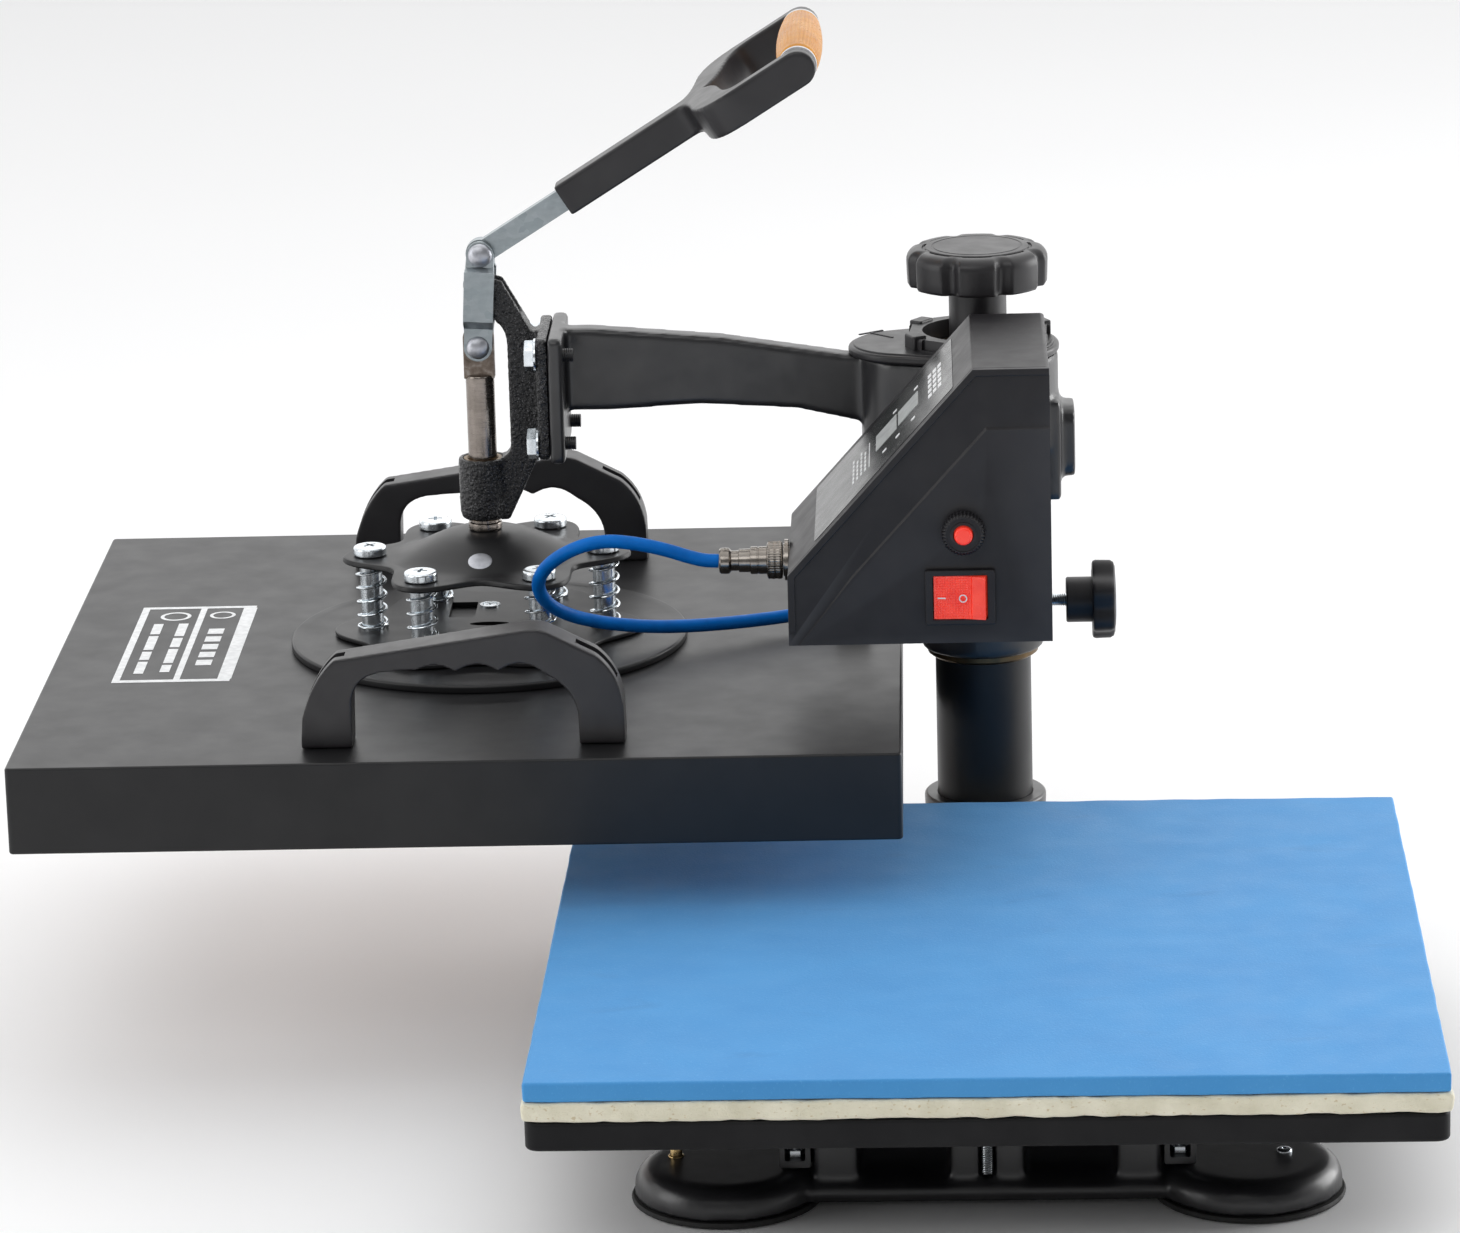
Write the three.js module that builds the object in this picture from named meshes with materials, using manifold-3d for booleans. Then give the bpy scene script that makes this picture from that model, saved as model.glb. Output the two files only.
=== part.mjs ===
// Swing-away heat press with a 380 mm square bed: millimetres, +Z up.
// The origin is the column's axis at the level of the surface that the press stands on.
// The head is shown swung away to -X; turned a quarter about the column, it stands over the bed at -Y.
import * as THREE from 'three';
import { mergeVertices } from 'three/addons/utils/BufferGeometryUtils.js';
import Module from 'manifold-3d';

const wasm = await Module();
wasm.setup();

// ---- Driving dimensions ----

const GAP = 0.3;
const PAD_SIZE = 380;
const PAD_CENTRE_Y = -237.8;
const PAD_TOP = 84;
const SILICONE = 8.5;
const FELT = 8.4;
const PLATEN = 12.6;
const PLATEN_BOTTOM = PAD_TOP - SILICONE - FELT - PLATEN - 2 * GAP;

const FOOT = 2.5;
const LOBE_R = 40;
const LOBE_X = 111;
const LOBE_TOP = 16;
const FRONT_Y = -338;
const REAR_Y = 10;

const COLUMN_R = 22.5;
const COLUMN_TOP = 276;
const SOCKET_TOP = 75;
const SLEEVE_BOTTOM = 147.3;
const SLEEVE_R = 29;
const SLEEVE_BORE = 25.3;
const CLAMP_HEIGHT = 168;
const HUB_BOTTOM = 246;
const HUB_TOP = 289;

const HEAD_TURN = THREE.MathUtils.degToRad(0.73);
const COVER_SIZE = 398;
const COVER_X = -237.3;
const COVER_TOP = 154;
const COVER_HEIGHT = 40;
const RAM_X = -233;
const BOLT_CIRCLE = 55;
const DISC_TOP = 157.9;
const SPRING_SEAT = 160.3;
const SPIDER_BOTTOM = 193.3;
const SPIDER_TOP = 196;
const SHAFT_R = 6.7;

const BOX_FRONT = -150;
const BOX_BACK = -38.5;
const BOX_WALL = 2.5;
const SWITCH = [-11, 0, 211.7];
const ROCKER_TILT = 8;
const BREAKER = [-9.2, 0, 241.5];
const SOCKET = [0, -95, 215.5];

const CRANK = 14.7;
const LEVER_ANGLE = THREE.MathUtils.degToRad(32);
const CRANK_ANGLE = THREE.MathUtils.degToRad(84);
const PIVOT = new THREE.Vector2(-232, 325.8);
const LINK_LENGTH = 44;
const PIN_R = 3;
const PIN_BORE = 3.3;
const LEVER_HALF = 3;
const WEB_HALF = 6;

// ---- Materials ----

const finish = (color, roughness, metalness) => ({ color, roughness, metalness });
const BLACK_COAT = finish(0x1b1c1f, 0.5, 0.2);
const BLACK_CAST = finish(0x17181a, 0.4, 0.4);
const BLACK_PLASTIC = finish(0x1c1d20, 0.45, 0);
const RUBBER = finish(0x101010, 0.85, 0);
const ZINC = finish(0xb9c2c8, 0.3, 1);
const GALVANISED = finish(0x9aa3a6, 0.5, 0.9);
const NICKEL = finish(0xc4bdae, 0.25, 1);
const ALUMINIUM = finish(0xc8cacc, 0.4, 0.9);
const BRONZE = finish(0x8f6b3a, 0.4, 0.9);
const BLUE_SILICONE = finish(0x4f98d8, 0.8, 0);
const CREAM_FELT = finish(0xe9e2cc, 0.95, 0);
const BLUE_CABLE = finish(0x0064be, 0.45, 0);
const AMBER = finish(0xf0a52c, 0.35, 0);
const RED = finish(0xe02a1c, 0.3, 0);
const WOOL = finish(0xd9d4c8, 0.95, 0);

// ---- Geometry helpers ----

function solid(geometry) {
  const bare = geometry.index ? geometry.toNonIndexed() : geometry.clone();
  for (const name of Object.keys(bare.attributes)) {
    if (name !== 'position') {
      bare.deleteAttribute(name);
    }
  }
  const merged = mergeVertices(bare, 1e-4);
  const vertProperties = new Float32Array(merged.attributes.position.array);
  const triVerts = new Uint32Array(merged.index.array);
  return new wasm.Manifold(new wasm.Mesh({ numProp: 3, vertProperties, triVerts }));
}

function surface(body) {
  const { vertProperties, triVerts } = body.getMesh();
  const geometry = new THREE.BufferGeometry();
  geometry.setAttribute('position', new THREE.Float32BufferAttribute(vertProperties, 3));
  geometry.setIndex(new THREE.Uint32BufferAttribute(triVerts, 1));
  return geometry;
}

function join(parts) {
  return parts.reduce((all, part) => all.add(part));
}

function cut(body, tools) {
  return tools.reduce((left, tool) => left.subtract(tool), body);
}

function boxBetween(low, high) {
  const size = high.map((value, axis) => value - low[axis]);
  const geometry = new THREE.BoxGeometry(...size);
  geometry.translate(...low.map((value, axis) => value + size[axis] / 2));
  return solid(geometry);
}

function turned(points, segments = 24) {
  const profile = points.map(([radius, height]) => new THREE.Vector2(radius, height));
  if (THREE.ShapeUtils.area(profile) < 0) {
    profile.reverse();
  }
  const geometry = new THREE.LatheGeometry(profile, segments);
  geometry.rotateX(Math.PI / 2);
  return solid(geometry);
}

function disc(radius, low, high, segments = 24) {
  return turned([[0, low], [radius, low], [radius, high], [0, high]], segments);
}

function ring(inner, outer, low, high, segments = 24) {
  return turned([[inner, low], [outer, low], [outer, high], [inner, high], [inner, low]], segments);
}

function alongX(body) {
  return body.rotate([0, 90, 0]);
}

function alongY(body) {
  return body.rotate([-90, 0, 0]);
}

function extruded(shape, depth, bevel = 0, curveSegments = 6) {
  const settings = {
    depth: depth - 2 * bevel,
    curveSegments,
    bevelEnabled: bevel > 0,
    bevelThickness: bevel,
    bevelSize: bevel,
    bevelOffset: -bevel,
    bevelSegments: 1,
  };
  const geometry = new THREE.ExtrudeGeometry(shape, settings);
  geometry.translate(0, 0, bevel);
  return solid(geometry);
}

// An outline in X and Z, given thickness along Y between two values.
function uprightPlate(shape, yLow, yHigh, bevel = 0, curveSegments = 6) {
  return extruded(shape, yHigh - yLow, bevel, curveSegments).rotate([90, 0, 0]).translate([0, yHigh, 0]);
}

function polygon(points) {
  return new THREE.Shape(points.map(([x, y]) => new THREE.Vector2(x, y)));
}

function roundedRectangle(width, height, radius) {
  const x = width / 2;
  const y = height / 2;
  const shape = new THREE.Shape();
  shape.moveTo(x, y - radius);
  shape.absarc(x - radius, y - radius, radius, 0, Math.PI / 2);
  shape.absarc(-x + radius, y - radius, radius, Math.PI / 2, Math.PI);
  shape.absarc(-x + radius, -y + radius, radius, Math.PI, 1.5 * Math.PI);
  shape.absarc(x - radius, -y + radius, radius, 1.5 * Math.PI, 2 * Math.PI);
  shape.closePath();
  return shape;
}

// A flat slab with rounded corners, centred in X and Y.
function slab(width, depth, low, high, radius, bevel) {
  return extruded(roundedRectangle(width, depth, radius), high - low, bevel, 2).translate([0, 0, low]);
}

// An outline whose radius swings between valleys and lobes.
function lobed(radius, swing, lobes, points) {
  const outline = [];
  for (let step = 0; step < points; step += 1) {
    const angle = (2 * Math.PI * step) / points;
    const reach = radius + swing * Math.cos(lobes * angle);
    outline.push([reach * Math.cos(angle), reach * Math.sin(angle)]);
  }
  return polygon(outline);
}

// Two circles of different size joined by their outer tangents; the small one lies towards -X.
function teardrop(bigRadius, smallRadius, distance) {
  const lean = Math.asin((bigRadius - smallRadius) / distance);
  const shape = new THREE.Shape();
  shape.absarc(0, 0, bigRadius, -Math.PI / 2 - lean, Math.PI / 2 + lean, false);
  shape.absarc(-distance, 0, smallRadius, Math.PI / 2 + lean, 1.5 * Math.PI - lean, false);
  shape.closePath();
  return shape;
}

const press = new THREE.Group();
const head = new THREE.Group();
head.rotation.z = HEAD_TURN;
press.add(head);

function node(parent, name, body, look) {
  const mesh = new THREE.Mesh(surface(body), new THREE.MeshStandardMaterial(look));
  mesh.name = name;
  parent.add(mesh);
  return mesh;
}

// ---- Base ----

function lobe(x, y) {
  const profile = [[0, FOOT + GAP], [LOBE_R, FOOT + GAP], [LOBE_R, LOBE_TOP - 8]];
  for (const angle of [45, 90]) {
    const turn = THREE.MathUtils.degToRad(angle);
    profile.push([LOBE_R - 8 + 8 * Math.cos(turn), LOBE_TOP - 8 + 8 * Math.sin(turn)]);
  }
  profile.push([0, LOBE_TOP]);
  return turned(profile, 28).translate([x, y, 0]);
}

function makeBase() {
  const low = FOOT + GAP;
  const top = PLATEN_BOTTOM - GAP;
  const parts = [];
  for (const y of [FRONT_Y, REAR_Y]) {
    parts.push(lobe(-LOBE_X, y), lobe(LOBE_X, y));
  }
  parts.push(boxBetween([-LOBE_X, FRONT_Y - 18.6, low], [LOBE_X, FRONT_Y + 30, 10]));
  parts.push(boxBetween([-LOBE_X, REAR_Y - 30, low], [LOBE_X, REAR_Y + 30, 10]));
  parts.push(boxBetween([-74, FRONT_Y + 4, low], [74, FRONT_Y + 60, top]));
  parts.push(boxBetween([-40, FRONT_Y + 40, low], [40, REAR_Y + 30, 40]));
  parts.push(boxBetween([-60, PAD_CENTRE_Y + 50, low], [60, PAD_CENTRE_Y + 90, top]));
  for (const x of [-64, 64]) {
    parts.push(boxBetween([x - 7.5, FRONT_Y - 15.6, low], [x + 7.5, FRONT_Y + 10, top]));
  }
  parts.push(boxBetween([-14, FRONT_Y - 15.6, low], [14, FRONT_Y + 10, top]));
  const tools = [
    boxBetween([-34, FRONT_Y + 46, 0], [34, -40, 34]),
    boxBetween([-68, FRONT_Y + 10, 0], [68, FRONT_Y + 54, top - 6]),
    boxBetween([-3.4, FRONT_Y - 20, 12], [3.4, FRONT_Y - 9, top + 1]),
    disc(COLUMN_R + GAP, 10, 50, 32),
  ];
  node(press, 'base_casting', cut(join(parts), tools), BLACK_COAT);
}

function makeFeet() {
  node(press, 'foot_front_left', disc(LOBE_R + 1, 0, FOOT, 28).translate([-LOBE_X, FRONT_Y, 0]), RUBBER);
  node(press, 'foot_front_right', disc(LOBE_R + 1, 0, FOOT, 28).translate([LOBE_X, FRONT_Y, 0]), RUBBER);
  const strip = join([
    disc(LOBE_R + 1, 0, FOOT, 28).translate([-LOBE_X, REAR_Y, 0]),
    disc(LOBE_R + 1, 0, FOOT, 28).translate([LOBE_X, REAR_Y, 0]),
    boxBetween([-LOBE_X, REAR_Y - 28, 0], [LOBE_X, REAR_Y + 28, FOOT]),
  ]);
  node(press, 'foot_rear', strip, RUBBER);
}

function makeColumn() {
  const inner = COLUMN_R - 4;
  const tube = turned([
    [8.3, COLUMN_TOP], [8.3, COLUMN_TOP - 30], [inner, COLUMN_TOP - 30], [inner, 10.3],
    [COLUMN_R, 10.3], [COLUMN_R, COLUMN_TOP], [8.3, COLUMN_TOP],
  ], 32);
  node(press, 'column', tube, BLACK_COAT);
  const bore = COLUMN_R + GAP;
  const socket = turned([
    [bore, 40.3], [38, 40.3], [38, 46], [27.5, 49], [28.5, 70],
    [28.5, SOCKET_TOP - 2], [26.5, SOCKET_TOP], [bore, SOCKET_TOP], [bore, 40.3],
  ], 32);
  node(press, 'column_socket', socket, BLACK_COAT);
}

// Hollows in the platen's underside, clear of the two places where the base carries it.
function platenPockets(low, high) {
  const half = PAD_SIZE / 2 - 8;
  const side = 82;
  return [
    boxBetween([-half, PAD_CENTRE_Y - half, low], [-side, PAD_CENTRE_Y + half, high]),
    boxBetween([side, PAD_CENTRE_Y - half, low], [half, PAD_CENTRE_Y + half, high]),
    boxBetween([-70, PAD_CENTRE_Y + 98, low], [70, PAD_CENTRE_Y + half, high]),
    boxBetween([-70, PAD_CENTRE_Y - 32, low], [70, PAD_CENTRE_Y + 42, high]),
  ];
}

function makeBed() {
  const felt = PAD_TOP - SILICONE - GAP;
  const steel = felt - FELT - GAP;
  const at = [0, PAD_CENTRE_Y, 0];
  const silicone = slab(PAD_SIZE, PAD_SIZE, PAD_TOP - SILICONE, PAD_TOP, 3, 0.8);
  node(press, 'silicone_pad', silicone.translate(at), BLUE_SILICONE);
  const soft = slab(PAD_SIZE + 2, PAD_SIZE + 2, felt - FELT, felt, 3, 0.6);
  node(press, 'felt_pad', soft.translate(at), CREAM_FELT);
  const plate = slab(PAD_SIZE, PAD_SIZE, PLATEN_BOTTOM, steel, 6, 3).translate(at);
  node(press, 'lower_platen', cut(plate, platenPockets(PLATEN_BOTTOM - 1, steel - 4)), BLACK_COAT);
  const stud = disc(2.8, 14, PLATEN_BOTTOM - GAP, 16).translate([0, FRONT_Y - 12.5, 0]);
  node(press, 'platen_stud', stud, ZINC);
  for (const [name, x] of [['bracket_left', -81.5], ['bracket_right', 81.5]]) {
    const y = FRONT_Y - 4;
    const outer = boxBetween([x - 6.8, y - 8, LOBE_TOP + GAP], [x + 6.8, y + 14, PLATEN_BOTTOM - GAP]);
    const window = boxBetween([x - 4.3, y - 12, LOBE_TOP + 3.5], [x + 4.3, y + 16, PLATEN_BOTTOM - 3.5]);
    const screw = disc(2.6, LOBE_TOP + 2, PLATEN_BOTTOM - 2, 12).translate([x, y, 0]);
    node(press, name, join([cut(outer, [window]), screw]), ZINC);
  }
}

// ---- Height carriage and pressure knob ----

function makeCarriage() {
  const outer = SLEEVE_BORE - GAP;
  const bore = COLUMN_R + GAP;
  const bush = turned([
    [bore, 143.5], [24, 143.5], [26, SLEEVE_BOTTOM - GAP], [outer, SLEEVE_BOTTOM - GAP], [outer, 291],
    [8.4, 291], [8.4, 286.5], [bore, 286.5], [bore, 143.5],
  ], 32);
  node(press, 'lift_bush', bush, BRONZE);
}

function makePressureKnob() {
  const grip = extruded(lobed(31.4, 1.4, 8, 48), 18.3, 2.5).translate([0, 0, 321]);
  const neck = turned([[0, 291.6], [13.4, 291.6], [13.4, 319], [15.5, 322], [0, 322]], 20);
  const bore = disc(8.3, 280, 331, 20);
  node(press, 'pressure_knob', cut(join([grip, neck]), [bore]), BLACK_PLASTIC);
  node(press, 'pressure_screw', disc(8, 200, 330.5, 20), ZINC);
}

// ---- Arm ----

function makeArm() {
  const sleeve = turned([
    [0, SLEEVE_BOTTOM], [SLEEVE_R - 1, SLEEVE_BOTTOM], [SLEEVE_R, SLEEVE_BOTTOM + 1.7],
    [SLEEVE_R, HUB_BOTTOM + 16], [0, HUB_BOTTOM + 16],
  ], 32);
  const hub = extruded(teardrop(37, 25.5, 29.5), HUB_TOP - HUB_BOTTOM, 0, 10);
  const side = boxBetween([26, -18, 221], [37.5, 18, 268]);
  const nose = extruded(roundedRectangle(28, 34, 8), 12, 2.5, 4).rotate([90, 0, 90]);
  const bar = uprightPlate(polygon([
    [-196, 304.2], [-181, 304.4], [-120, 299], [-61.5, 293.2], [-61.5, 288.8], [-30, 288],
    [-30, 252], [-56, 257.7], [-85, 264.4], [-130, 267.4], [-172, 265.2], [-196, 265.4],
  ]), -6, 6);
  const flange = boxBetween([-199.5, -30, 245.5], [-192.5, 30, 305]);
  const boss = alongX(disc(8, 20, 31.5, 24)).translate([0, 0, CLAMP_HEIGHT]);
  const tools = [
    disc(SLEEVE_BORE, 140, 300, 32),
    alongX(disc(3.4, 0, 40, 16)).translate([0, 0, CLAMP_HEIGHT]),
  ];
  const parts = [
    sleeve, hub.translate([0, 0, HUB_BOTTOM]), side, nose.translate([32, 0, 247]), bar, flange, boss,
  ];
  node(head, 'arm_hub', cut(join(parts), tools), BLACK_CAST);
}

function makeHubLid() {
  const low = HUB_TOP + GAP;
  const plate = extruded(teardrop(37.6, 28, 32.5), 4.6, 1).translate([0, 0, low]);
  const parts = [plate, disc(34.5, low + 2, 299.5, 28)];
  for (let lug = 0; lug < 6; lug += 1) {
    const block = boxBetween([29, -4.5, low + 2], [35.8, 4.5, 300.6]);
    parts.push(block.rotate([0, 0, 60 * lug + 25]));
  }
  node(head, 'hub_lid', cut(join(parts), [disc(26, 280, 310, 28)]), BLACK_PLASTIC);
}

function makeHeadBracket() {
  const web = new THREE.Shape();
  web.moveTo(RAM_X + 29, 303.5);
  web.lineTo(RAM_X + 25.5, 303.5);
  web.lineTo(RAM_X + 12, 328);
  web.lineTo(PIVOT.x, PIVOT.y + 4.8);
  web.lineTo(PIVOT.x, PIVOT.y - 4.8);
  web.lineTo(RAM_X + 11, 309.5);
  web.quadraticCurveTo(RAM_X + 16, 307, RAM_X + 16, 300);
  web.lineTo(RAM_X + 16, 250);
  web.quadraticCurveTo(RAM_X + 15, 244, RAM_X + 8, 243);
  web.lineTo(RAM_X + 2, 213.4);
  web.lineTo(RAM_X + 12, 213.4);
  web.lineTo(RAM_X + 27.5, 245.6);
  web.lineTo(RAM_X + 29, 247.5);
  const parts = [
    uprightPlate(web, -WEB_HALF, WEB_HALF, 0, 4),
    boxBetween([-205, -28, 247], [-199.8, 28, 304.5]),
    turned([[0, 213.4], [10.2, 213.4], [11.5, 218], [11.5, 243], [0, 243]], 28).translate([RAM_X, 0, 0]),
    alongY(disc(4.8, -WEB_HALF, WEB_HALF, 24)).translate([PIVOT.x, 0, PIVOT.y]),
  ];
  const tools = [
    disc(9.3, 200, 260, 28).translate([RAM_X, 0, 0]),
    boxBetween([PIVOT.x - 20, -LEVER_HALF - 0.4, PIVOT.y - 14], [RAM_X + 24, LEVER_HALF + 0.4, PIVOT.y + 20]),
    alongY(disc(PIN_BORE, -10, 10, 14)).translate([PIVOT.x, 0, PIVOT.y]),
  ];
  node(head, 'head_bracket', cut(join(parts), tools), BLACK_CAST);
  node(head, 'guide_bush', ring(SHAFT_R + GAP, 9, 213.6, 242.6, 28).translate([RAM_X, 0, 0]), BRONZE);
  const pin = alongY(disc(PIN_R, -6.7, 6.7, 20)).translate([PIVOT.x, 0, PIVOT.y]);
  node(head, 'lever_pivot_pin', pin, ZINC);
}

// ---- Control box ----

const BOX_OUTLINE = [[-88, 190], [30, 190], [30, 315.5], [-4, 315.5], [-88, 222.5]];

// The box's outline in X and Z with every side moved inwards.
function boxOutline(inset) {
  const sides = BOX_OUTLINE.map(([x, z], index) => {
    const [nextX, nextZ] = BOX_OUTLINE[(index + 1) % BOX_OUTLINE.length];
    const inward = new THREE.Vector2(z - nextZ, nextX - x).normalize();
    return { inward, reach: inward.dot(new THREE.Vector2(x, z)) + inset };
  });
  return polygon(sides.map((side, index) => {
    const before = sides.at(index - 1);
    const spread = before.inward.cross(side.inward);
    return [
      (before.reach * side.inward.y - side.reach * before.inward.y) / spread,
      (side.reach * before.inward.x - before.reach * side.inward.x) / spread,
    ];
  }));
}

function makeControlBox() {
  const plateBack = BOX_FRONT + BOX_WALL;
  const outer = uprightPlate(boxOutline(0), plateBack + GAP, BOX_BACK);
  const inner = uprightPlate(boxOutline(BOX_WALL), plateBack - 1, BOX_BACK - BOX_WALL);
  const hole = alongX(disc(6.3, -95, -80, 24)).translate(SOCKET);
  node(head, 'control_box', cut(outer, [inner, hole]), BLACK_PLASTIC);
  const plate = uprightPlate(boxOutline(0), BOX_FRONT, plateBack);
  const holes = [
    aroundSwitch(13.4, 11.3, BOX_FRONT - 5, plateBack + 5),
    alongY(disc(7.3, BOX_FRONT - 10, plateBack + 10, 24)).translate(BREAKER),
  ];
  node(head, 'box_side_plate', cut(plate, holes), BLACK_PLASTIC);
}

// A box centred on the rocker switch, given by its half width, half height and two values of Y.
function aroundSwitch(halfWidth, halfHeight, yLow, yHigh) {
  const [x, , z] = SWITCH;
  return boxBetween([x - halfWidth, yLow, z - halfHeight], [x + halfWidth, yHigh, z + halfHeight]);
}

function makeSwitch() {
  const bezel = aroundSwitch(15.6, 12.6, BOX_FRONT - 2, BOX_FRONT - GAP);
  const body = aroundSwitch(13, 11, BOX_FRONT - 1, BOX_FRONT + 20);
  const well = aroundSwitch(12.3, 10.2, BOX_FRONT - 6, BOX_FRONT + 14);
  node(head, 'switch_frame', cut(join([bezel, body]), [well]), BLACK_PLASTIC);
  const face = polygon([[-11.6, -2.4], [0, -0.6], [11.6, -2.4], [11.6, 5], [6, 9], [-6, 9], [-11.6, 5]]);
  const rocker = extruded(face, 19.6).translate([0, 0, -9.8]).rotate([0, 0, -ROCKER_TILT]);
  node(head, 'switch_rocker', rocker.translate([SWITCH[0], BOX_FRONT - 0.4, SWITCH[2]]), RED);
}

function makeBreaker() {
  const collar = alongY(turned([
    [4.6, -156], [8.6, -156], [9.8, -154.6], [9.8, BOX_FRONT - GAP], [7, BOX_FRONT - GAP], [7, -136],
    [4.6, -136], [4.6, -156],
  ], 20)).translate(BREAKER);
  node(head, 'breaker_bezel', collar, BLACK_PLASTIC);
  const button = alongY(turned([[0, -158.5], [3, -158.5], [4.1, -157.6], [4.1, -140], [0, -140]], 24));
  node(head, 'breaker_button', button.translate(BREAKER), RED);
}

// ---- Heater cable with its panel socket and plug ----

const CABLE_R = 3.15;
const CABLE_ROUTE = [
  [-120.3, -95, 215.5], [-127, -95, 216], [-134, -95, 217.8], [-142.5, -95, 220.6], [-151.5, -95, 223],
  [-160.5, -94.5, 224.6], [-169.6, -93.5, 225.2], [-178.9, -91.5, 223.7], [-187.3, -88.5, 220.2],
  [-195, -84, 214.9], [-201, -78.5, 208.3], [-204.3, -72, 200.4], [-203.4, -64.5, 192.1],
  [-198.9, -57, 184.7], [-190.8, -49, 178.2], [-179.7, -41, 172.9], [-167, -34, 169], [-153.4, -28, 166.3],
  [-139.6, -22, 164.6], [-125.7, -15, 163.3], [-111.8, -7.5, 162.3], [-100.2, -1, 161.7],
  [-90, 4.4, 161.5], [-79.5, 8.4, 161.9], [-70.3, 9, 162],
];

function cableTube(route, radius) {
  const points = route.map((point) => new THREE.Vector3(...point));
  const curve = new THREE.CatmullRomCurve3(points, false, 'centripetal');
  const section = new THREE.Shape();
  section.absarc(0, 0, radius, 0, 2 * Math.PI);
  const settings = { steps: 44, curveSegments: 4, bevelEnabled: false, extrudePath: curve };
  return solid(new THREE.ExtrudeGeometry(section, settings));
}

function makeCable() {
  const socket = alongX(turned([
    [0, -90.8], [7.5, -90.8], [7.5, -90.2], [9.4, -90.2], [9.4, -88.3], [6, -88.3], [6, -74], [0, -74],
  ], 16)).translate(SOCKET);
  node(head, 'cable_socket', socket, NICKEL);
  const plug = alongX(turned([
    [0, -120], [6, -120], [6, -115], [4.6, -114.5], [4.6, -111.3], [5.4, -111], [5.4, -106], [6.3, -105.6],
    [6.3, -98.4], [8.7, -98], [8.7, -91.1], [0, -91.1],
  ], 16)).translate(SOCKET);
  node(head, 'cable_plug', plug, NICKEL);
  node(head, 'heater_cable', cableTube(CABLE_ROUTE, CABLE_R), BLUE_CABLE);
  const nose = alongX(turned([[0, -70], [5, -70], [6.6, -66], [6.6, -54], [0, -54]], 20)).translate([0, 9, 162]);
  const flange = boxBetween([-69, 0, COVER_TOP + GAP], [-53, 18, 158.5]);
  node(head, 'cable_gland', join([nose, flange]), BLACK_PLASTIC);
}

// ---- Clamp knob on the sleeve ----

function makeClamp() {
  const grip = alongX(extruded(lobed(17.4, 1.6, 6, 36), 11.7, 1.5)).translate([51.6, 0, CLAMP_HEIGHT]);
  const hub = alongX(disc(10.7, 39.4, 53, 20)).translate([0, 0, CLAMP_HEIGHT]);
  const bore = alongX(disc(3.3, 30, 56, 16)).translate([0, 0, CLAMP_HEIGHT]);
  node(head, 'clamp_knob', cut(join([grip, hub]), [bore]), BLACK_PLASTIC);
  const stud = alongX(disc(PIN_R, SLEEVE_BORE + 0.4, 55.5, 16));
  node(head, 'clamp_stud', stud.translate([0, 0, CLAMP_HEIGHT]), ZINC);
}

// ---- Lever, in a frame whose X runs along it from the pivot ----

const upperPin = new THREE.Vector2(
  CRANK * Math.cos(CRANK_ANGLE - LEVER_ANGLE),
  CRANK * Math.sin(CRANK_ANGLE - LEVER_ANGLE),
);

function pinBores(half) {
  const places = [[0, 0, 0], [upperPin.x, 0, upperPin.y]];
  return places.map((place) => alongY(disc(PIN_BORE, -half, half, 14)).translate(place));
}

function makeLeverBar(lever) {
  const start = upperPin.x;
  const axis = upperPin.y;
  const crank = polygon([[-6.2, 3], [4, -5.2], [start + 6, axis - 3], [start - 4, axis + 5.2]]);
  const parts = [
    alongY(disc(7, -LEVER_HALF, LEVER_HALF, 20)),
    alongY(disc(6.8, -LEVER_HALF, LEVER_HALF, 20)).translate([start, 0, axis]),
    uprightPlate(crank, -LEVER_HALF, LEVER_HALF),
    boxBetween([start, -LEVER_HALF, axis - 5.2], [start + 112, LEVER_HALF, axis + 5.2]),
  ];
  node(lever, 'lever_bar', cut(join(parts), pinBores(5)), GALVANISED);
}

const GRIP_END = 177.4;
const ROLLER_HALF = 46;
const FORK_OUTER = 59;

function forkOutline(start) {
  const shape = new THREE.Shape();
  const end = start + GRIP_END + 8.3;
  shape.moveTo(start + 46.5, -6.5);
  shape.lineTo(start + 114, -6.5);
  shape.bezierCurveTo(start + 126, -7, start + 119, -48, start + 134, -56);
  shape.quadraticCurveTo(start + 139, -FORK_OUTER, start + 148, -FORK_OUTER);
  shape.lineTo(end, -FORK_OUTER);
  shape.lineTo(end, -ROLLER_HALF - 4);
  shape.lineTo(start + 152, -ROLLER_HALF - 4);
  shape.bezierCurveTo(start + 136, -50, start + 143, -14, start + 130, 0);
  shape.bezierCurveTo(start + 143, 14, start + 136, 50, start + 152, ROLLER_HALF + 4);
  shape.lineTo(end, ROLLER_HALF + 4);
  shape.lineTo(end, FORK_OUTER);
  shape.lineTo(start + 148, FORK_OUTER);
  shape.quadraticCurveTo(start + 139, FORK_OUTER, start + 134, 56);
  shape.bezierCurveTo(start + 119, 48, start + 126, 7, start + 114, 6.5);
  shape.lineTo(start + 46.5, 6.5);
  return shape;
}

function sideOutline(start, axis) {
  const shape = new THREE.Shape();
  shape.moveTo(start + 40, axis - 7.8);
  shape.lineTo(start + 118, axis - 7.8);
  shape.lineTo(start + 126, axis - 8.3);
  shape.absarc(start + GRIP_END, axis, 8.3, -Math.PI / 2, Math.PI / 2, false);
  shape.lineTo(start + 126, axis + 8.3);
  shape.lineTo(start + 118, axis + 7.8);
  shape.lineTo(start + 40, axis + 7.8);
  return shape;
}

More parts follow.
